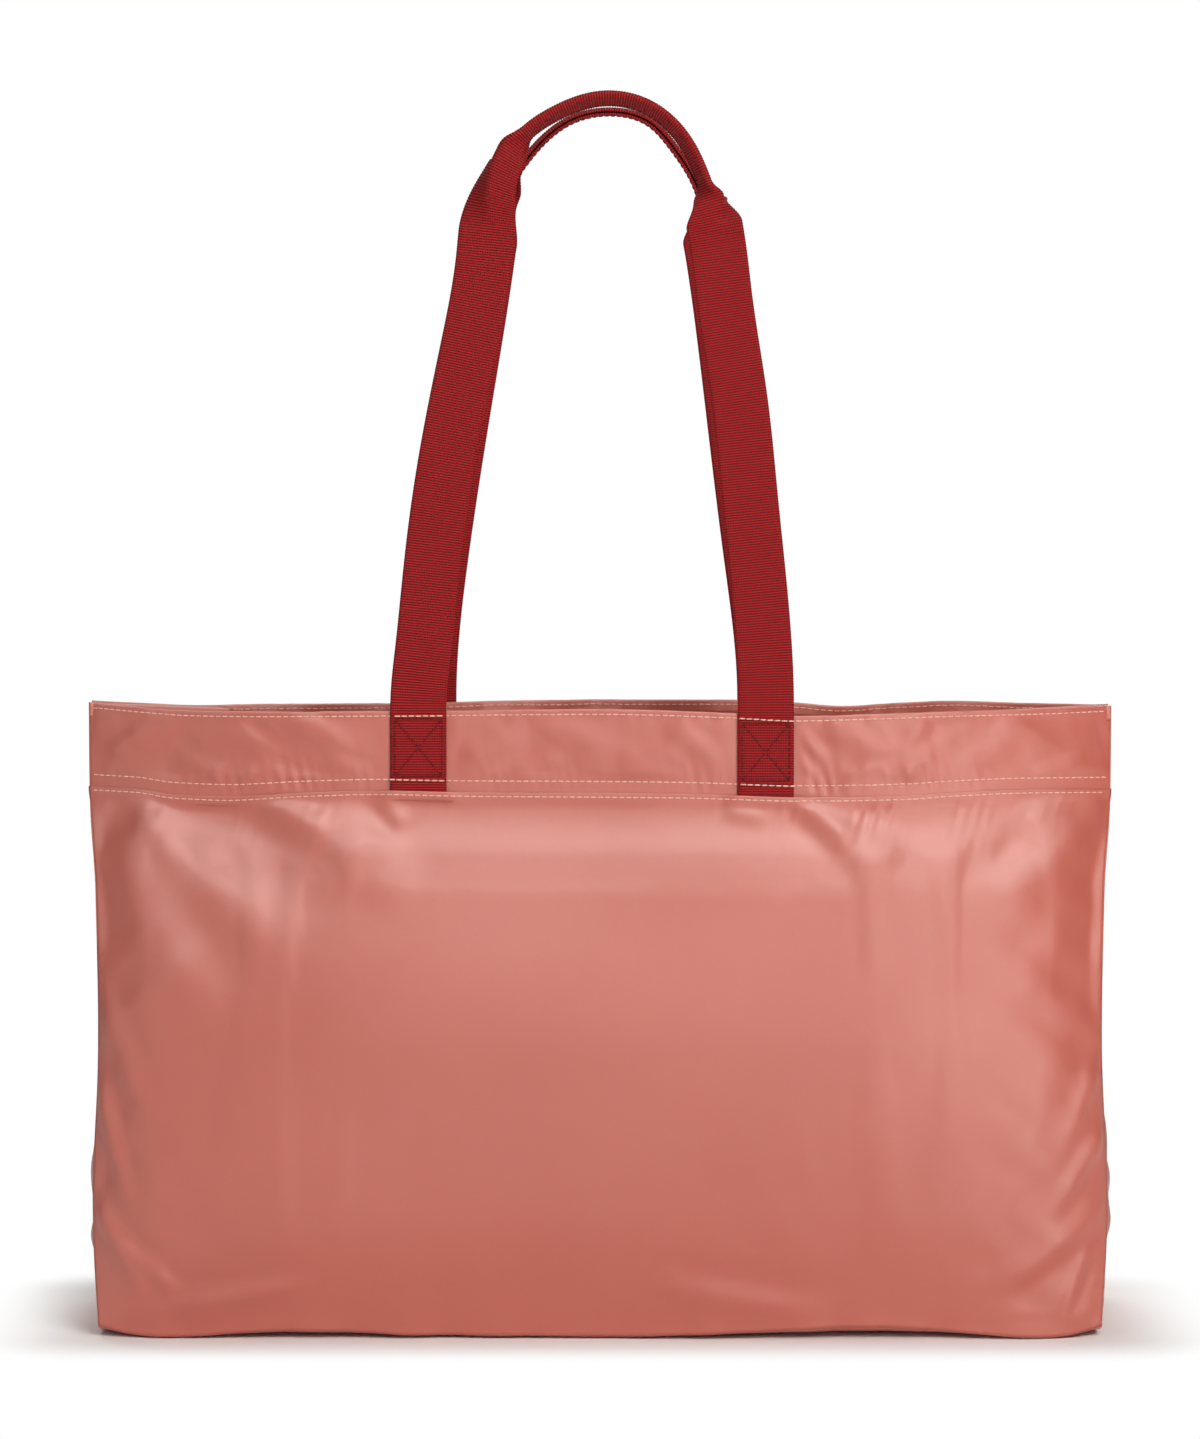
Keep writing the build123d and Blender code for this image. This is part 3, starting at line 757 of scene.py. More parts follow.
def sheet_uv(grid):
    """Cloth coordinates in millimetres: distance along each row from its middle, and up each column."""
    steps = np.linalg.norm(np.diff(grid, axis=1), axis=-1)
    across = np.concatenate((np.zeros((len(grid), 1)), np.cumsum(steps, axis=1)), axis=1)
    across -= across[:, grid.shape[1] // 2][:, None]
    rises = np.linalg.norm(np.diff(grid, axis=0), axis=-1)
    up = np.concatenate((np.zeros((1, grid.shape[1])), np.cumsum(rises, axis=0)))
    return np.stack((across, up), axis=-1)


def raised(grid, relief):
    """The surface moved outwards by its relief."""
    return grid + grid_normals(grid) * relief[..., None]


def row_heights(grid, rows):
    """The flat height of every point of a sheet."""
    return np.repeat(rows[:, None], grid.shape[1], axis=1)


def at_edges(grid):
    """1 inside a sheet and 0 at its left and right seams, so that neighbours stay joined."""
    steps = np.linalg.norm(np.diff(grid, axis=1), axis=-1)
    along = np.concatenate((np.zeros((len(grid), 1)), np.cumsum(steps, axis=1)), axis=1)
    return smooth(np.minimum(along, along[:, -1:] - along) / 7.0)


def wall_sheets(side, columns, folds, band_folds, seed):
    """The finished surfaces of one large panel and its band, before their folded edges."""
    panel = surface(columns, PANEL_ROWS)
    x, z = panel[..., 0], row_heights(panel, PANEL_ROWS)
    strap = 1 - calm_at_straps(x, side)
    lip = smooth((z - (SEAM_Z - 7)) / 5)
    relief = panel_relief(x, z, folds, seed) * at_edges(panel) * (1 - 0.75 * lip)
    relief += lip * (LIP + STRAP_LIP * strap)
    panel = raised(panel, relief)

    band = surface(columns, BAND_ROWS)
    x, z = band[..., 0], row_heights(band, BAND_ROWS)
    tuck = smooth((z - SEAM_Z + 1) / 3)
    relief = band_relief(x, z, band_folds, seed + 10) * at_edges(band) * calm_at_straps(x, side) * tuck
    return panel, raised(band, relief)


# Folds of the gussets: places are distance from the middle fold towards the front or rear, and height.
GUSSET_FOLDS = (
    ((4, 176), (-48, 92), 1.6, 8.0),
    ((-4, 168), (40, 96), 1.5, 8.0),
    ((-56, 150), (-34, 70), 1.2, 6.0),
    ((55, 140), (30, 60), 1.2, 6.0),
    ((-58, 60), (-20, 22), 1.4, 7.0),
    ((58, 52), (14, 18), 1.4, 7.0),
    ((-10, 110), (6, 40), 1.2, 9.0),
    ((-30, 232), (-40, 180), 1.0, 6.0),
    ((28, 236), (42, 190), 1.0, 6.0),
)


def gusset_sheets(columns, seed):
    """The finished surfaces of one gusset and its part of the band."""
    panel = surface(columns, PANEL_ROWS)
    y, z = panel[..., 1], row_heights(panel, PANEL_ROWS)
    from_fold = np.abs(y)
    creases = drift(from_fold * 1.4 + z * 0.8, z, seed, 46.0) + 0.6 * drift(y, z, seed + 1, 90.0)
    lip = smooth((z - (SEAM_Z - 7)) / 5)
    creases = 1.1 * creases + sum(crease(y, z, *fold) for fold in GUSSET_FOLDS)
    relief = creases * at_edges(panel) * smooth(z / 10) * (1 - lip) + lip * LIP
    panel = raised(panel, relief)

    band = surface(columns, BAND_ROWS)
    y, z = band[..., 1], row_heights(band, BAND_ROWS)
    tuck = smooth((z - SEAM_Z + 1) / 3)
    relief = 0.35 * ripple(y, seed + 2, 6, 18) * at_edges(band) * tuck * smooth((RIM_Z - z) / 6)
    return panel, raised(band, relief)


def belongs(piece, body=None, replaced=()):
    """Puts a piece on the body it rides on and hides the CAD nodes it stands for."""
    if body:
        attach(piece, body)
    if replaced:
        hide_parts(*replaced)


def press_with(piece, side):
    """The piece gets its own mesh and rides on its wall's body, or on the root; side is -1 front, 1
    rear and 0 for base and gussets.
    """
    body = {-1: "front_side", 1: "rear_side", 0: "root"}[side]
    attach(piece, body)
    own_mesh(piece)


def cloth_piece(name, grid, side, node=None, material=NYLON, inward=1.0):
    """A sheet of the bag's body in place of the CAD node of the same name, unless another is given."""
    piece = sheet(f"{name}_cloth", grid, sheet_uv(grid), material, inward=inward)
    press_with(piece, side)
    belongs(piece, replaced=[node or name])


walls = {}
for side, label, *plan in ((-1, "front", FRONT_COLUMNS, FRONT_FOLDS, FRONT_BAND_FOLDS, 20),
                           (1, "rear", REAR_COLUMNS, REAR_FOLDS, REAR_BAND_FOLDS, 60)):
    panel, band = wall_sheets(side, *plan)
    walls[side] = {"panel": panel, "band": band}
    cloth_piece(f"{label}_panel", rolled_edge(panel, ROLL, SEAM_TURN), side)
    cloth_piece(f"{label}_band", rolled_edge(band, RIM_ROLL, RIM_TURN), side)
    inside = band[2:-2] - grid_normals(band)[2:-2] * (CLOTH + FACING_GAP)
    cloth_piece(f"{label}_facing", inside, side, material=LINING)

for columns, label, seed in ((LEFT_COLUMNS, "left", 100), (RIGHT_COLUMNS, "right", 120)):
    panel, band = gusset_sheets(columns, seed)
    cloth_piece(f"{label}_gusset", rolled_edge(panel, ROLL, SEAM_TURN), 0)
    cloth_piece(f"{label}_gusset_band", rolled_edge(band, RIM_ROLL, RIM_TURN), 0)

base = base_points(walls[-1]["panel"][0], walls[1]["panel"][0][::-1])
cloth_piece("base", base, 0, "base_panel", inward=-1.0)


# ---------------------------------------------------------------- stitches

def stitch_mesh(name, centres, tangents, normals, material, length=STITCH_LENGTH,
                radius=STITCH_RADIUS):
    """One slim rounded stitch at each centre, lying along its tangent."""
    around, along = 8, 7
    tangents, normals = unit(np.asarray(tangents)), unit(np.asarray(normals))
    binormals = unit(np.cross(tangents, normals))
    normals = np.cross(binormals, tangents)
    angle = np.linspace(0, 2 * math.pi, around, endpoint=False)
    place = np.linspace(-1, 1, along)
    girth = radius * np.sqrt(np.clip(1 - np.abs(place) ** 3.0, 0, 1))
    girth[[0, -1]] = radius * 0.2
    sink = -0.30 * radius * 2 * place ** 4
    ring_n = np.cos(angle)[None, :] * girth[:, None] + sink[:, None]
    ring_b = np.sin(angle)[None, :] * girth[:, None]
    ring_t = np.repeat(place[:, None] * length / 2, around, axis=1)
    shape = (np.asarray(centres)[:, None, None] + ring_t[..., None] * tangents[:, None, None]
             + ring_n[..., None] * normals[:, None, None]
             + ring_b[..., None] * binormals[:, None, None])
    faces = []
    for number in range(len(shape)):
        faces += tube_faces(along, around, number * around * along)
    return add_object(name, shape.reshape(-1, 3), faces, material)


def spaced(points, normals, pitch, inset=2.0):
    """Centres, tangents and normals at even spacing along a line of points."""
    steps = np.linalg.norm(np.diff(points, axis=0), axis=1)
    along = np.concatenate(([0], np.cumsum(steps)))
    count = int((along[-1] - 2 * inset) / pitch)
    places = inset + pitch * (np.arange(count) + 0.5)
    near = 0.8          # how far to both sides a stitch's direction is taken

    def at(values, where):
        return np.stack([np.interp(where, along, values[:, c]) for c in range(3)], axis=-1)
    tangents = at(points, places + near) - at(points, places - near)
    return at(points, places), tangents, at(normals, places)


def row_line(grid, z_rows, z):
    """The line at height z on a finished surface, with its normals."""
    row = np.interp(z, z_rows, np.arange(len(z_rows)))
    columns = np.arange(grid.shape[1])
    return resample(grid, [row], columns)[0], unit(resample(grid_normals(grid), [row], columns)[0])


STRAP_FACE_Y = RIM_Y + STRAP_OFF + WEB_THICK
STITCH_RISE = STITCH_RADIUS * 0.45      # how far a stitch's middle lies above the cloth

for side, label in ((-1, "front"), (1, "rear")):
    for row, z in STITCH_Z.items():
        on_panel = row == "seam_stitching"
        sewn = "panel" if on_panel else "band"
        line, normals = row_line(walls[side][sewn], PANEL_ROWS if on_panel else BAND_ROWS, z)
        centres, tangents, normals = spaced(line, normals, STITCH_PITCH)
        centres = centres + normals * STITCH_RISE
        on_strap = np.zeros(len(centres), bool)
        if not on_panel:
            for x in strap_centres(side):
                on_strap |= np.abs(centres[:, 0] - x) < WEB_WIDTH / 2 - 0.3
        piece = stitch_mesh(f"{label}_{row}_thread", centres[~on_strap], tangents[~on_strap],
                            normals[~on_strap], PALE_THREAD)
        press_with(piece, side)
        belongs(piece, replaced=[f"{label}_{row}"])
        if on_strap.any():
            lifted = centres[on_strap]
            lifted[:, 1] = side * (STRAP_FACE_Y + RIB_DEPTH + STITCH_RADIUS * 0.4)
            outwards = np.tile((0.0, side, 0.0), (len(lifted), 1))
            run = np.tile((1.0, 0.0, 0.0), (len(lifted), 1))
            piece = stitch_mesh(f"{label}_{row}_on_straps", lifted, run, outwards, PALE_THREAD,
                                STITCH_LENGTH * 1.08, STITCH_RADIUS * 1.25)
            belongs(piece, f"{label}_side")


# ---------------------------------------------------------------- webbing handles

LOOP_START = box_mm("front_handle_loop")[0][2]

# Each strap's path seen from the front: places across and heights, from its left end to its right one.
LOOP_POINTS = {
    -1: ((-82.5, LOOP_START), (-80.3, 311.0), (-75.5, 356.0), (-68.7, 402.0), (-59.7, 447.0),
         (-52.4, 488.0), (-49.3, 512.0), (-45.2, 524.5), (-40.6, 533.4), (-33.8, 542.8), (-21.0, 552.0),
         (2.4, 559.4), (20.8, 555.6), (36.9, 541.5), (45.8, 523.5), (51.2, 505.0), (56.2, 470.0),
         (63.1, 424.5), (68.0, 379.0), (72.6, 334.0), (75.3, LOOP_START)),
    1: ((-80.5, LOOP_START), (-75.0, 350.0), (-62.6, 430.0), (-53.0, 490.0), (-47.6, 515.0),
        (-37.2, 533.0), (-27.0, 545.4), (-13.4, 555.4), (4.0, 559.2), (22.6, 554.6), (33.8, 543.0),
        (43.0, 529.0), (48.6, 514.0), (53.4, 490.0), (61.6, 428.0), (71.3, 350.0), (77.5, LOOP_START)),
}
STRAP_GAP = 0.4         # left between the pressed straps and the bag's middle plane
TAB_UNDER_LIP = 4.0     # how far the strap ends run on behind the panel's folded edge
GRIP_TWIST = {-1: math.radians(73), 1: math.radians(82)}
FOLD_RADIUS = 0.95
# Heights between which the webbing narrows, closes and turns into the grip, on its left and right leg.
NARROWS = {-1: ((500, 537), (503, 516)), 1: ((498, 524), (500, 513))}
CLOSES = {-1: ((529, 538), (513, 518.5)), 1: ((517, 526), (510, 515.5))}
TURNS = {-1: ((533, 545), (511.5, 522)), 1: ((520, 533), (508.5, 519))}
RIB_ROWS = 4            # mesh rows to a rib
HALF_COLUMNS = 9        # mesh columns on each half of the webbing


def spline(points, count):
    """A natural cubic spline through the points, at evenly spaced places along it."""
    points = np.asarray(points, float)
    knots = np.concatenate(([0], np.cumsum(np.linalg.norm(np.diff(points, axis=0), axis=1))))
    h = np.diff(knots)
    size = len(points)
    matrix, right = np.zeros((size, size)), np.zeros((size, 2))
    ends = np.array(((0.0, 1.0), (0.0, -1.0)))
    matrix[0, :2] = 2 * h[0], h[0]
    right[0] = 6 * ((points[1] - points[0]) / h[0] - ends[0])
    matrix[-1, -2:] = h[-1], 2 * h[-1]
    right[-1] = 6 * (ends[1] - (points[-1] - points[-2]) / h[-1])
    for i in range(1, size - 1):
        matrix[i, i - 1:i + 2] = h[i - 1], 2 * (h[i - 1] + h[i]), h[i]
        right[i] = 6 * ((points[i + 1] - points[i]) / h[i] - (points[i] - points[i - 1]) / h[i - 1])
    bends = np.linalg.solve(matrix, right)

    def at(t):
        i = np.clip(np.searchsorted(knots, t, side="right") - 1, 0, size - 2)
        a, b = (knots[i + 1] - t)[:, None], (t - knots[i])[:, None]
        hi = h[i][:, None]
        return ((bends[i] * a ** 3 + bends[i + 1] * b ** 3) / (6 * hi)
                + (points[i] / hi - bends[i] * hi / 6) * a
                + (points[i + 1] / hi - bends[i + 1] * hi / 6) * b)
    dense = at(np.linspace(0, knots[-1], 4000))
    along = np.concatenate(([0], np.cumsum(np.linalg.norm(np.diff(dense, axis=0), axis=1))))
    even = np.linspace(0, along[-1], count)
    return np.stack([np.interp(even, along, dense[:, c]) for c in range(2)], axis=-1), along[-1]


def strap_frames(side):
    """A whole strap's centre line and direction, and how narrow, bent and twisted it is along it."""
    loop, loop_length = spline(LOOP_POINTS[side], 1600)
    tab = LOOP_START - TAB_LOW[2] + TAB_UNDER_LIP
    length = loop_length + 2 * tab
    rows = int(length / RIB_PITCH * RIB_ROWS)
    s = np.linspace(0, length, rows + 1)
    places = (s - tab) / loop_length
    inside = np.clip(places, 0, 1) * (len(loop) - 1)
    x = np.interp(inside, np.arange(len(loop)), loop[:, 0])
    z = np.interp(inside, np.arange(len(loop)), loop[:, 1])
    z = z - np.maximum(tab - s, 0) - np.maximum(s - tab - loop_length, 0)
    centre = np.stack((x, np.full(len(s), side * (RIM_Y + STRAP_OFF + WEB_THICK / 2)), z), axis=-1)
    tangent = unit(np.gradient(centre, axis=0))
    for _ in range(3):
        averaged = (tangent[:-2] + tangent[1:-1] + tangent[2:]) / 3
        tangent = unit(np.concatenate((tangent[:1], averaged, tangent[-1:])))
    on_left = places < 0.5

    def grown(windows):
        (left_low, left_high), (right_low, right_high) = windows[side]
        return np.where(on_left, smooth((z - left_low) / (left_high - left_low)),
                        smooth((z - right_low) / (right_high - right_low)))
    narrow, closing = grown(NARROWS), grown(CLOSES)
    bend = np.arccos(1 - narrow) + closing * math.pi / 2
    return s, centre, tangent, narrow, bend, GRIP_TWIST[side] * grown(TURNS)


def strap_section(v, bend, offset):
    """Where a point at v across the webbing lies when it is folded about its middle by an angle."""
    arc = FOLD_RADIUS * bend
    turned = np.clip(v / FOLD_RADIUS, 0, bend)
    beyond = np.maximum(v - arc, 0)
    across = np.where(v <= 0, v, FOLD_RADIUS * np.sin(turned) + beyond * np.cos(bend))
    behind = np.where(v <= 0, 0, FOLD_RADIUS * (1 - np.cos(turned)) + beyond * np.sin(bend))
    angle = np.where(v <= 0, 0, turned)
    return across + offset * np.sin(angle), behind - offset * np.cos(angle)


def strap_surface(side, v, offset, frames):
    """Points of the strap at v across it and offset outwards from its middle surface."""
    s, centre, tangent, narrow, bend, twist = frames
    narrow, bend, twist = narrow[:, None], bend[:, None], twist[:, None]
    outward = np.stack((-tangent[:, 2], np.zeros(len(s)), tangent[:, 0]), axis=-1)[:, None]
    facing = np.array((0.0, side, 0.0))[None, None]
    across_dir = outward * np.cos(twist)[..., None] + facing * np.sin(twist)[..., None]
    behind_dir = outward * np.sin(twist)[..., None] - facing * np.cos(twist)[..., None]
    across, behind = strap_section(v, bend, offset)
    shift = WEB_WIDTH / 4 * narrow - FOLD_RADIUS * 0.6 * np.sin(bend / 2)
    return centre[:, None] + across_dir * (across + shift)[..., None] + behind_dir * behind[..., None]


def clearance(points, side):
    """How far each row of a strap moves outwards, so that the straps don't meet when pressed flat."""
    inner = (side * points[..., 1]).min(axis=1)
    missing = np.maximum(PRESS / MM + STRAP_GAP - inner, 0)
    reach = 24

    def windows(values):
        padded = np.pad(values, reach, mode="edge")
        return [padded[n:n + len(values)] for n in range(2 * reach + 1)]
    widest = np.max(windows(missing), axis=0)
    return np.mean(windows(widest), axis=0)


def strap_piece(side, label):
    """One handle's webbing, from sewn end to sewn end, as a closed ribbed strip."""
    frames = strap_frames(side)
    s = frames[0]
    half = WEB_WIDTH / 2
    ribs = 0.5 + 0.5 * np.cos(2 * math.pi * s / RIB_PITCH)
    ribs *= smooth(s / 1.5) * smooth((s[-1] - s) / 1.5)
    spread = np.linspace(-1, 1, 2 * HALF_COLUMNS + 1)
    v_face = half * np.sign(spread) * np.abs(spread) ** 0.92
    edge = 1 - 0.45 * smooth((np.abs(v_face) - half + 1.2) / 1.2)
    v = np.concatenate((v_face, v_face[::-1]))
    thick = np.concatenate((edge, -edge[::-1])) * WEB_THICK / 2
    offset = thick[None] + np.sign(thick)[None] * RIB_DEPTH * (ribs[:, None] - 0.5)
    v = v[None] + np.sign(v)[None] * (np.abs(v) > half - 0.05)[None] * 0.12 * ribs[:, None]
    points = strap_surface(side, v, offset, frames)
    moved = clearance(points, side)
    points[..., 1] += side * moved[:, None]
    faces = tube_faces(*points.shape[:2])
    if side > 0:
        faces = [face[::-1] for face in faces]
    uv = np.stack(np.broadcast_arrays(v, s[:, None]), axis=-1)
    points, uv = points.reshape(-1, 3), uv.reshape(-1, 2)
    piece = add_object(f"{label}_handle_webbing", points, faces, WEBBING, uv)
    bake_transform(piece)
    parts = ("loop", "end_left", "end_right")
    belongs(piece, replaced=[f"{label}_handle_{part}" for part in parts])
    return frames, moved


def box_stitches(side, label):
    """A box with a cross in it on each strap end."""
    half = WEB_WIDTH / 2 - BOX_REACH
    low, high = STITCH_Z["band_stitching"] + BOX_REACH, STITCH_Z["topstitching"] - 0.8 * BOX_REACH
    pitch, length, radius = 2.7, 2.4, 0.32
    centres, tangents = [], []
    for x in strap_centres(side):
        shift = float(wander(np.array([x]), (low + high) / 2, side)[0])
        a, b = [np.array((x + across, low + shift)) for across in (-half, half)]
        c, d = [np.array((x + across, high + shift)) for across in (half, -half)]
        for start, end in ((a, b), (b, c), (c, d), (d, a), (a, c), (b, d)):
            count = max(1, int(round(np.linalg.norm(end - start) / pitch)))
            for n in range(count):
                place = start + (end - start) * (n + 0.5) / count
                centres.append((place[0], side * (STRAP_FACE_Y + RIB_DEPTH * 0.5), place[1]))
                tangents.append((end[0] - start[0], 0, end[1] - start[1]))
    normals = np.tile((0.0, side, 0.0), (len(centres), 1))
    piece = stitch_mesh(f"{label}_box_thread", centres, tangents, normals, RED_THREAD, length, radius)
    belongs(piece, f"{label}_side", [f"{label}_box_stitches"])


def grip_stitches(side, label, frames, moved):
    """The row that closes the folded grip, seen on both of its faces."""
    bend = frames[4]
    folded = bend > 0.985 * math.pi
    from_middle = WEB_WIDTH / 2 - 2.2
    face = WEB_THICK / 2 + RIB_DEPTH * 0.5
    pitch, length, radius = 2.8, 2.3, 0.26

    def line_at(v, offset):
        return strap_surface(side, np.full((len(bend), 1), v), offset, frames)[folded, 0]
    parts = []
    for v in (-from_middle, from_middle):
        line = line_at(v, face)
        outwards = line_at(v, face + 1) - line
        line = line + np.array((0.0, side, 0.0)) * moved[folded, None]
        parts.append(spaced(line, outwards, pitch, inset=0.5))
    centres, tangents, normals = (np.concatenate(values) for values in zip(*parts))
    piece = stitch_mesh(f"{label}_grip_thread", centres, tangents, normals, RED_THREAD, length, radius)
    belongs(piece, f"{label}_handle", [f"{label}_grip_stitching"])


for side, label in ((-1, "front"), (1, "rear")):
    frames, moved = strap_piece(side, label)
    box_stitches(side, label)
    grip_stitches(side, label, frames, moved)


# ---------------------------------------------------------------- stitches inside the mouth

for side, label in ((-1, "front"), (1, "rear")):
    band = walls[side]["band"]
    outward, up = grid_normals(band)[-1], unit(band[-1] - band[-2])
    under_rim = band[-1] - outward * 2 * RIM_ROLL - up * (BAND_ROWS[-1] - STITCH_Z["topstitching"])
    line, normals = row_line(band, BAND_ROWS, STITCH_Z["band_stitching"])
    above_seam = line - normals * (2 * CLOTH + FACING_GAP)
    for row, points, outwards in (("topstitching", under_rim, outward),
                                  ("band_stitching", above_seam, normals)):
        centres, tangents, facing = spaced(points, -outwards, STITCH_PITCH, inset=4.0)
        centres = centres + facing * STITCH_RISE
        piece = stitch_mesh(f"{label}_{row}_inside", centres, tangents, facing, PALE_THREAD)
        press_with(piece, side)
        belongs(piece)


# ---------------------------------------------------------------- pocket, zip and label

POCKET_LOW, POCKET_HIGH = box_mm("pocket_back")
BINDING_LOW, BINDING_HIGH = box_mm("pocket_binding")
BINDING_FACE = 7.0      # width of the tape on each face of the pocket
BINDING_CORNER = 9.0
POCKET_CORNER = 8.0
POCKET_STILL = 216.0    # above this height the zip holds the pocket flat


def pocket_sway(x, z):
    """How far the hanging pocket bends towards (-) and away from (+) the middle of the bag."""
    hang = smooth((POCKET_STILL - z) / 50.0)
    return hang * (0.9 * drift(x, z, 210, 90.0) + 0.35 * drift(x, z, 211, 34.0))


def upright_sheet(name, node, material, body="rear_side", puff=0.0, faces_rear=False):
    """A cloth sheet in place of a thin upright CAD sheet."""
    low, high = box_mm(node)
    columns_to_mm = 0.6
    x = np.linspace(low[0], high[0], int((high[0] - low[0]) * columns_to_mm) + 2)
    z = np.linspace(low[2], high[2], int((high[2] - low[2]) * columns_to_mm) + 2)
    x, z = np.meshgrid(x[::-1] if faces_rear else x, z)
    if low[2] < POCKET_LOW[2] + 1 and high[0] > POCKET_HIGH[0] - 1:
        rise = np.clip(POCKET_CORNER - (z - low[2]), 0, POCKET_CORNER)
        x = x * (high[0] - POCKET_CORNER + np.sqrt(POCKET_CORNER ** 2 - rise ** 2)) / high[0]
    across, along = (x - low[0]) / (high[0] - low[0]), (z - low[2]) / (high[2] - low[2])
    y = np.full(x.shape, high[1] if faces_rear else low[1])
    y = y + pocket_sway(x, z) * (not faces_rear)
    y -= puff * np.sin(math.pi * np.clip(across, 0, 1)) ** 0.7 * np.sin(math.pi * along) ** 0.8
    grid = np.stack((x, y, z), axis=-1)
    piece = sheet(name, grid, sheet_uv(grid), material, thickness=float(high[1] - low[1]))
    belongs(piece, body, [node])
    return grid


upright_sheet("pocket_back_cloth", "pocket_back", LINING)
upper = upright_sheet("pocket_upper_cloth", "pocket_front_upper", LINING)
lower = upright_sheet("pocket_lower_cloth", "pocket_front_lower", LINING, puff=1.3)
upright_sheet("zip_tape_upper_cloth", "zip_tape_upper", ZIP_TAPE)
upright_sheet("zip_tape_lower_cloth", "zip_tape_lower", ZIP_TAPE)


def binding_path(inset):
    """The pocket's edge from the top left, down, across and up to the top right, moved inwards."""
    half, bottom, top = BINDING_HIGH[0], BINDING_LOW[2], BINDING_HIGH[2]
    turn = np.linspace(0, math.pi / 2, 13)
    side = np.linspace(top, bottom + BINDING_CORNER, 90)[:-1]
    base = np.linspace(-half + BINDING_CORNER, half - BINDING_CORNER, 112)[1:-1]
    outward = [(-1.0, 0.0)] * len(side) + [(-math.cos(t), -math.sin(t)) for t in turn]
    edge = [(-half, z) for z in side]
    edge += [(-half + BINDING_CORNER - BINDING_CORNER * math.cos(t),
              bottom + BINDING_CORNER - BINDING_CORNER * math.sin(t)) for t in turn]
    mirrored = [(-x, z) for x, z in reversed(edge)]
    mirrored_outward = [(-x, z) for x, z in reversed(outward)]
    edge += [(x, bottom) for x in base] + mirrored
    outward += [(0.0, -1.0)] * len(base) + mirrored_outward
    return np.array(edge) - np.array(outward) * inset


def binding_piece():
    """Tape folded over the pocket's edge; gives the line for the stitches that hold it."""
    front, back = BINDING_LOW[1], BINDING_HIGH[1]
    radius = (back - front) / 2
    turn = np.linspace(-math.pi / 2, math.pi / 2, 13)
    face = np.linspace(BINDING_FACE, radius, 6)[:-1]
    insets = np.concatenate((face, radius - radius * np.cos(turn), face[::-1]))
    y = np.concatenate((np.full(5, front), front + radius + radius * np.sin(turn), np.full(5, back)))
    columns = []
    for inset, depth in zip(insets, y):
        x, z = binding_path(inset).T
        wave_in = pocket_sway(x, z) + 0.12 * ripple(x + z, 230, 5, 18)
        columns.append(np.stack((x, depth + wave_in, z), axis=-1))
    grid = np.stack(columns, axis=1)[:, ::-1]
    piece = sheet("pocket_binding_tape", grid, sheet_uv(grid), ZIP_TAPE, thickness=0.5)
    belongs(piece, "rear_side", ["pocket_binding"])
    x, z = binding_path(BINDING_FACE - 1.4).T
    return np.stack((x, front + pocket_sway(x, z) - 0.05, z), axis=-1)


def pocket_stitches(name, lines):
    """Rows of pale stitches on the pocket's near face."""
    near = (0.0, -1.0, 0.0)
    parts = [spaced(line, np.tile(near, (len(line), 1)), STITCH_PITCH, 1.0) for line in lines]
    centres, tangents, normals = (np.concatenate(values) for values in zip(*parts))
    piece = stitch_mesh(name, centres + normals * 0.1, tangents, normals, PALE_THREAD, radius=0.22)
    belongs(piece, "rear_side")


from_zip = np.array((0, 0, 1.6))
pocket_stitches("pocket_thread", [binding_piece(), lower[-1] - from_zip, upper[0] + from_zip])

# The coil: two rows of interlocking turns.
COIL_LOW, COIL_HIGH = box_mm("zip_coil")
COIL_PITCH = 1.3
COIL_TURN = 2.7
teeth = np.arange(COIL_LOW[0] + COIL_PITCH / 2, COIL_HIGH[0], COIL_PITCH)
rows = ((teeth, COIL_HIGH[2] - COIL_TURN / 2),
        (teeth[:-1] + COIL_PITCH / 2, COIL_LOW[2] + COIL_TURN / 2))
centres = np.array([(x, COIL_LOW[1] + 0.45, z) for places, z in rows for x in places])
coil = stitch_mesh("zip_coil_turns", centres, np.tile((0.0, 0.0, 1.0), (len(centres), 1)),
                   np.tile((0.0, -1.0, 0.0), (len(centres), 1)), ZIP_COIL, COIL_TURN, 0.42)
belongs(coil, "rear_side", ["zip_coil"])

label_grid = upright_sheet("care_label_satin", "care_label", LABEL, "front_side",
                           faces_rear=True)
label_top = label_grid[-1] - np.array((0, 0, 1.5))
centres, tangents, normals = spaced(label_top, np.tile((0.0, 1.0, 0.0), (len(label_top), 1)), 2.6, 0.5)
piece = stitch_mesh("care_label_thread", centres, tangents, normals, PALE_THREAD)
belongs(piece, "front_side")

for name in ("zip_stops", "zip_slider", "zip_pull"):
    metal = frame["nodes"][name]
    metal.data.materials.clear()
    metal.data.materials.append(ZIP_METAL)


# ---------------------------------------------------------------- floor, light and camera

CAMERA_HEIGHT = 0.4055
CAMERA_DISTANCE = 2.3305
LENS = 126.09                           # focal length for a sensor 36 mm wide
LOOKING_DOWN = math.radians(3.1525)
FLOOR = 30.0                            # half the side of the floor
FLOOR_UNDER = 0.0004                    # how far the floor lies under the bag
NEAR_SHADOW, FAR_WHITE = 0.002, 0.06    # the floor fades from lit paper to plain white with distance
SKY_SEEN, SKY_LIGHT = 0.83, 0.18        # the backdrop's extra brightness, and its light on the bag

scene = bpy.context.scene
camera_data = bpy.data.cameras.new("camera")
camera_data.sensor_width = 36.0
camera_data.sensor_fit = "AUTO"
camera_data.lens = LENS
camera = bpy.data.objects.new("camera", camera_data)
camera.location = (0.0, -CAMERA_DISTANCE, CAMERA_HEIGHT)
camera.rotation_euler = (math.pi / 2 - LOOKING_DOWN, 0, 0)
scene.collection.objects.link(camera)
scene.camera = camera

scene.view_settings.view_transform = "Standard"
scene.view_settings.look = "None"


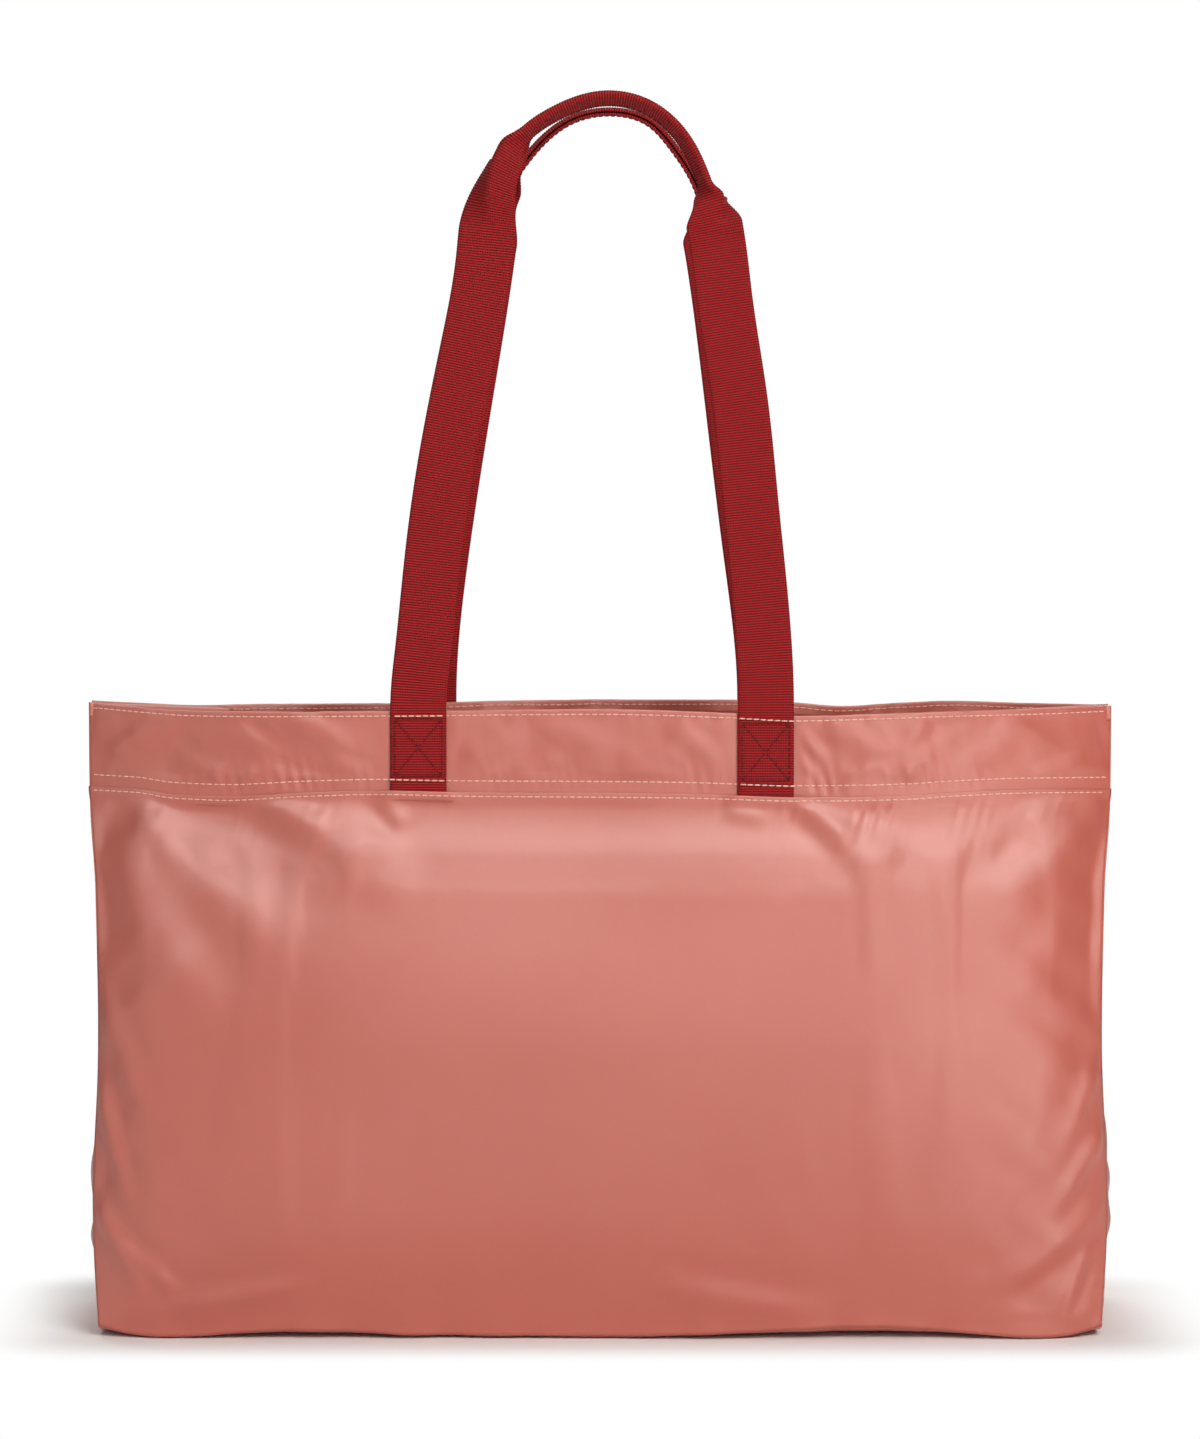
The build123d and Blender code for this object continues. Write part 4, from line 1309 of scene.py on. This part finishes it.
def floor_material():
    """White paper that takes the bag's contact shadow and turns plain white a little way off."""
    material, graph, shader = principled("floor_paper", 0.9, specular=0.1)
    shader["Base Color"].default_value = (0.95, 0.95, 0.95, 1)
    place = graph.split(graph.add("NewGeometry", "Position"))
    squares = []
    for axis, half in (("X", BASE_HALF_LENGTH), ("Y", BASE_HALF_DEPTH)):
        beyond = graph.math("SUBTRACT", graph.math("ABSOLUTE", place[axis]), float(half) * MM)
        outside = graph.math("MAXIMUM", beyond, 0.0)
        squares.append(graph.math("MULTIPLY", outside, outside))
    distance = graph.math("SQRT", graph.math("ADD", *squares))
    stretch = {"Value": distance, "From Min": NEAR_SHADOW, "From Max": FAR_WHITE}
    fade = graph.add("MapRange", "Result", stretch, interpolation_type="SMOOTHSTEP")
    share = graph.math("MULTIPLY", fade, graph.add("LightPath", "Is Camera Ray"))
    paper = graph.nodes["Principled BSDF"].outputs[0]
    mix = graph.add("MixShader", 0, {0: share, 1: paper, 2: graph.add("Emission", 0)})
    graph.feed(graph.nodes["Material Output"].inputs["Surface"], mix)
    return material


def softbox(name, azimuth, elevation, distance, width, height, watts, lights=True, shines=True):
    """A rectangular light facing the bag; azimuth 0 is in front and 90 to the right."""
    light = bpy.data.lights.new(name, "AREA")
    light.shape = "RECTANGLE"
    light.size, light.size_y = width, height
    light.energy = watts
    light.color = (1.0, 0.975, 0.93)
    lamp = bpy.data.objects.new(name, light)
    lamp.visible_diffuse, lamp.visible_glossy = lights, shines
    a, e = math.radians(azimuth), math.radians(elevation)
    target = Vector((0, 0, 0.2))
    away = Vector((math.sin(a) * math.cos(e), -math.cos(a) * math.cos(e), math.sin(e)))
    lamp.location = target + away * distance
    lamp.rotation_euler = (-away).to_track_quat("-Z", "Y").to_euler()
    scene.collection.objects.link(lamp)


floor_mesh = bpy.data.meshes.new("floor")
floor_mesh.from_pydata([(-FLOOR, -FLOOR, 0), (FLOOR, -FLOOR, 0), (FLOOR, FLOOR, 0), (-FLOOR, FLOOR, 0)],
                       [], [(0, 1, 2, 3)])
floor = bpy.data.objects.new("floor", floor_mesh)
floor.location.z = -FLOOR_UNDER
scene.collection.objects.link(floor)
floor_mesh.materials.append(floor_material())

# Each lamp's direction, height, distance, size and power; the key gives no glare, the shines only that.
softbox("key", 27, 32, 2.6, 1.5, 0.8, 40, shines=False)
softbox("strip", 26, 6, 2.4, 0.35, 1.1, 8)
softbox("fill", -50, 15, 3.0, 1.6, 1.6, 8)
softbox("shine", 24, 58, 2.6, 1.3, 0.6, 36, lights=False)
softbox("shine_right", 23, 4, 2.4, 0.3, 1.2, 10, lights=False)
softbox("shine_left", -38, 52, 2.6, 0.7, 0.5, 16, lights=False)
softbox("rear", 200, 55, 2.8, 1.8, 1.6, 26)
softbox("back", 160, 18, 3.0, 1.6, 1.4, 14)

world = bpy.data.worlds.new("studio")
scene.world = world
world.use_nodes = True
sky = Graph(world.node_tree)
background = sky.nodes["Background"].inputs
background["Color"].default_value = (1, 1, 1, 1)
seen = sky.add("LightPath", "Is Camera Ray")
sky.feed(background["Strength"], sky.math("MULTIPLY_ADD", seen, SKY_SEEN, SKY_LIGHT))
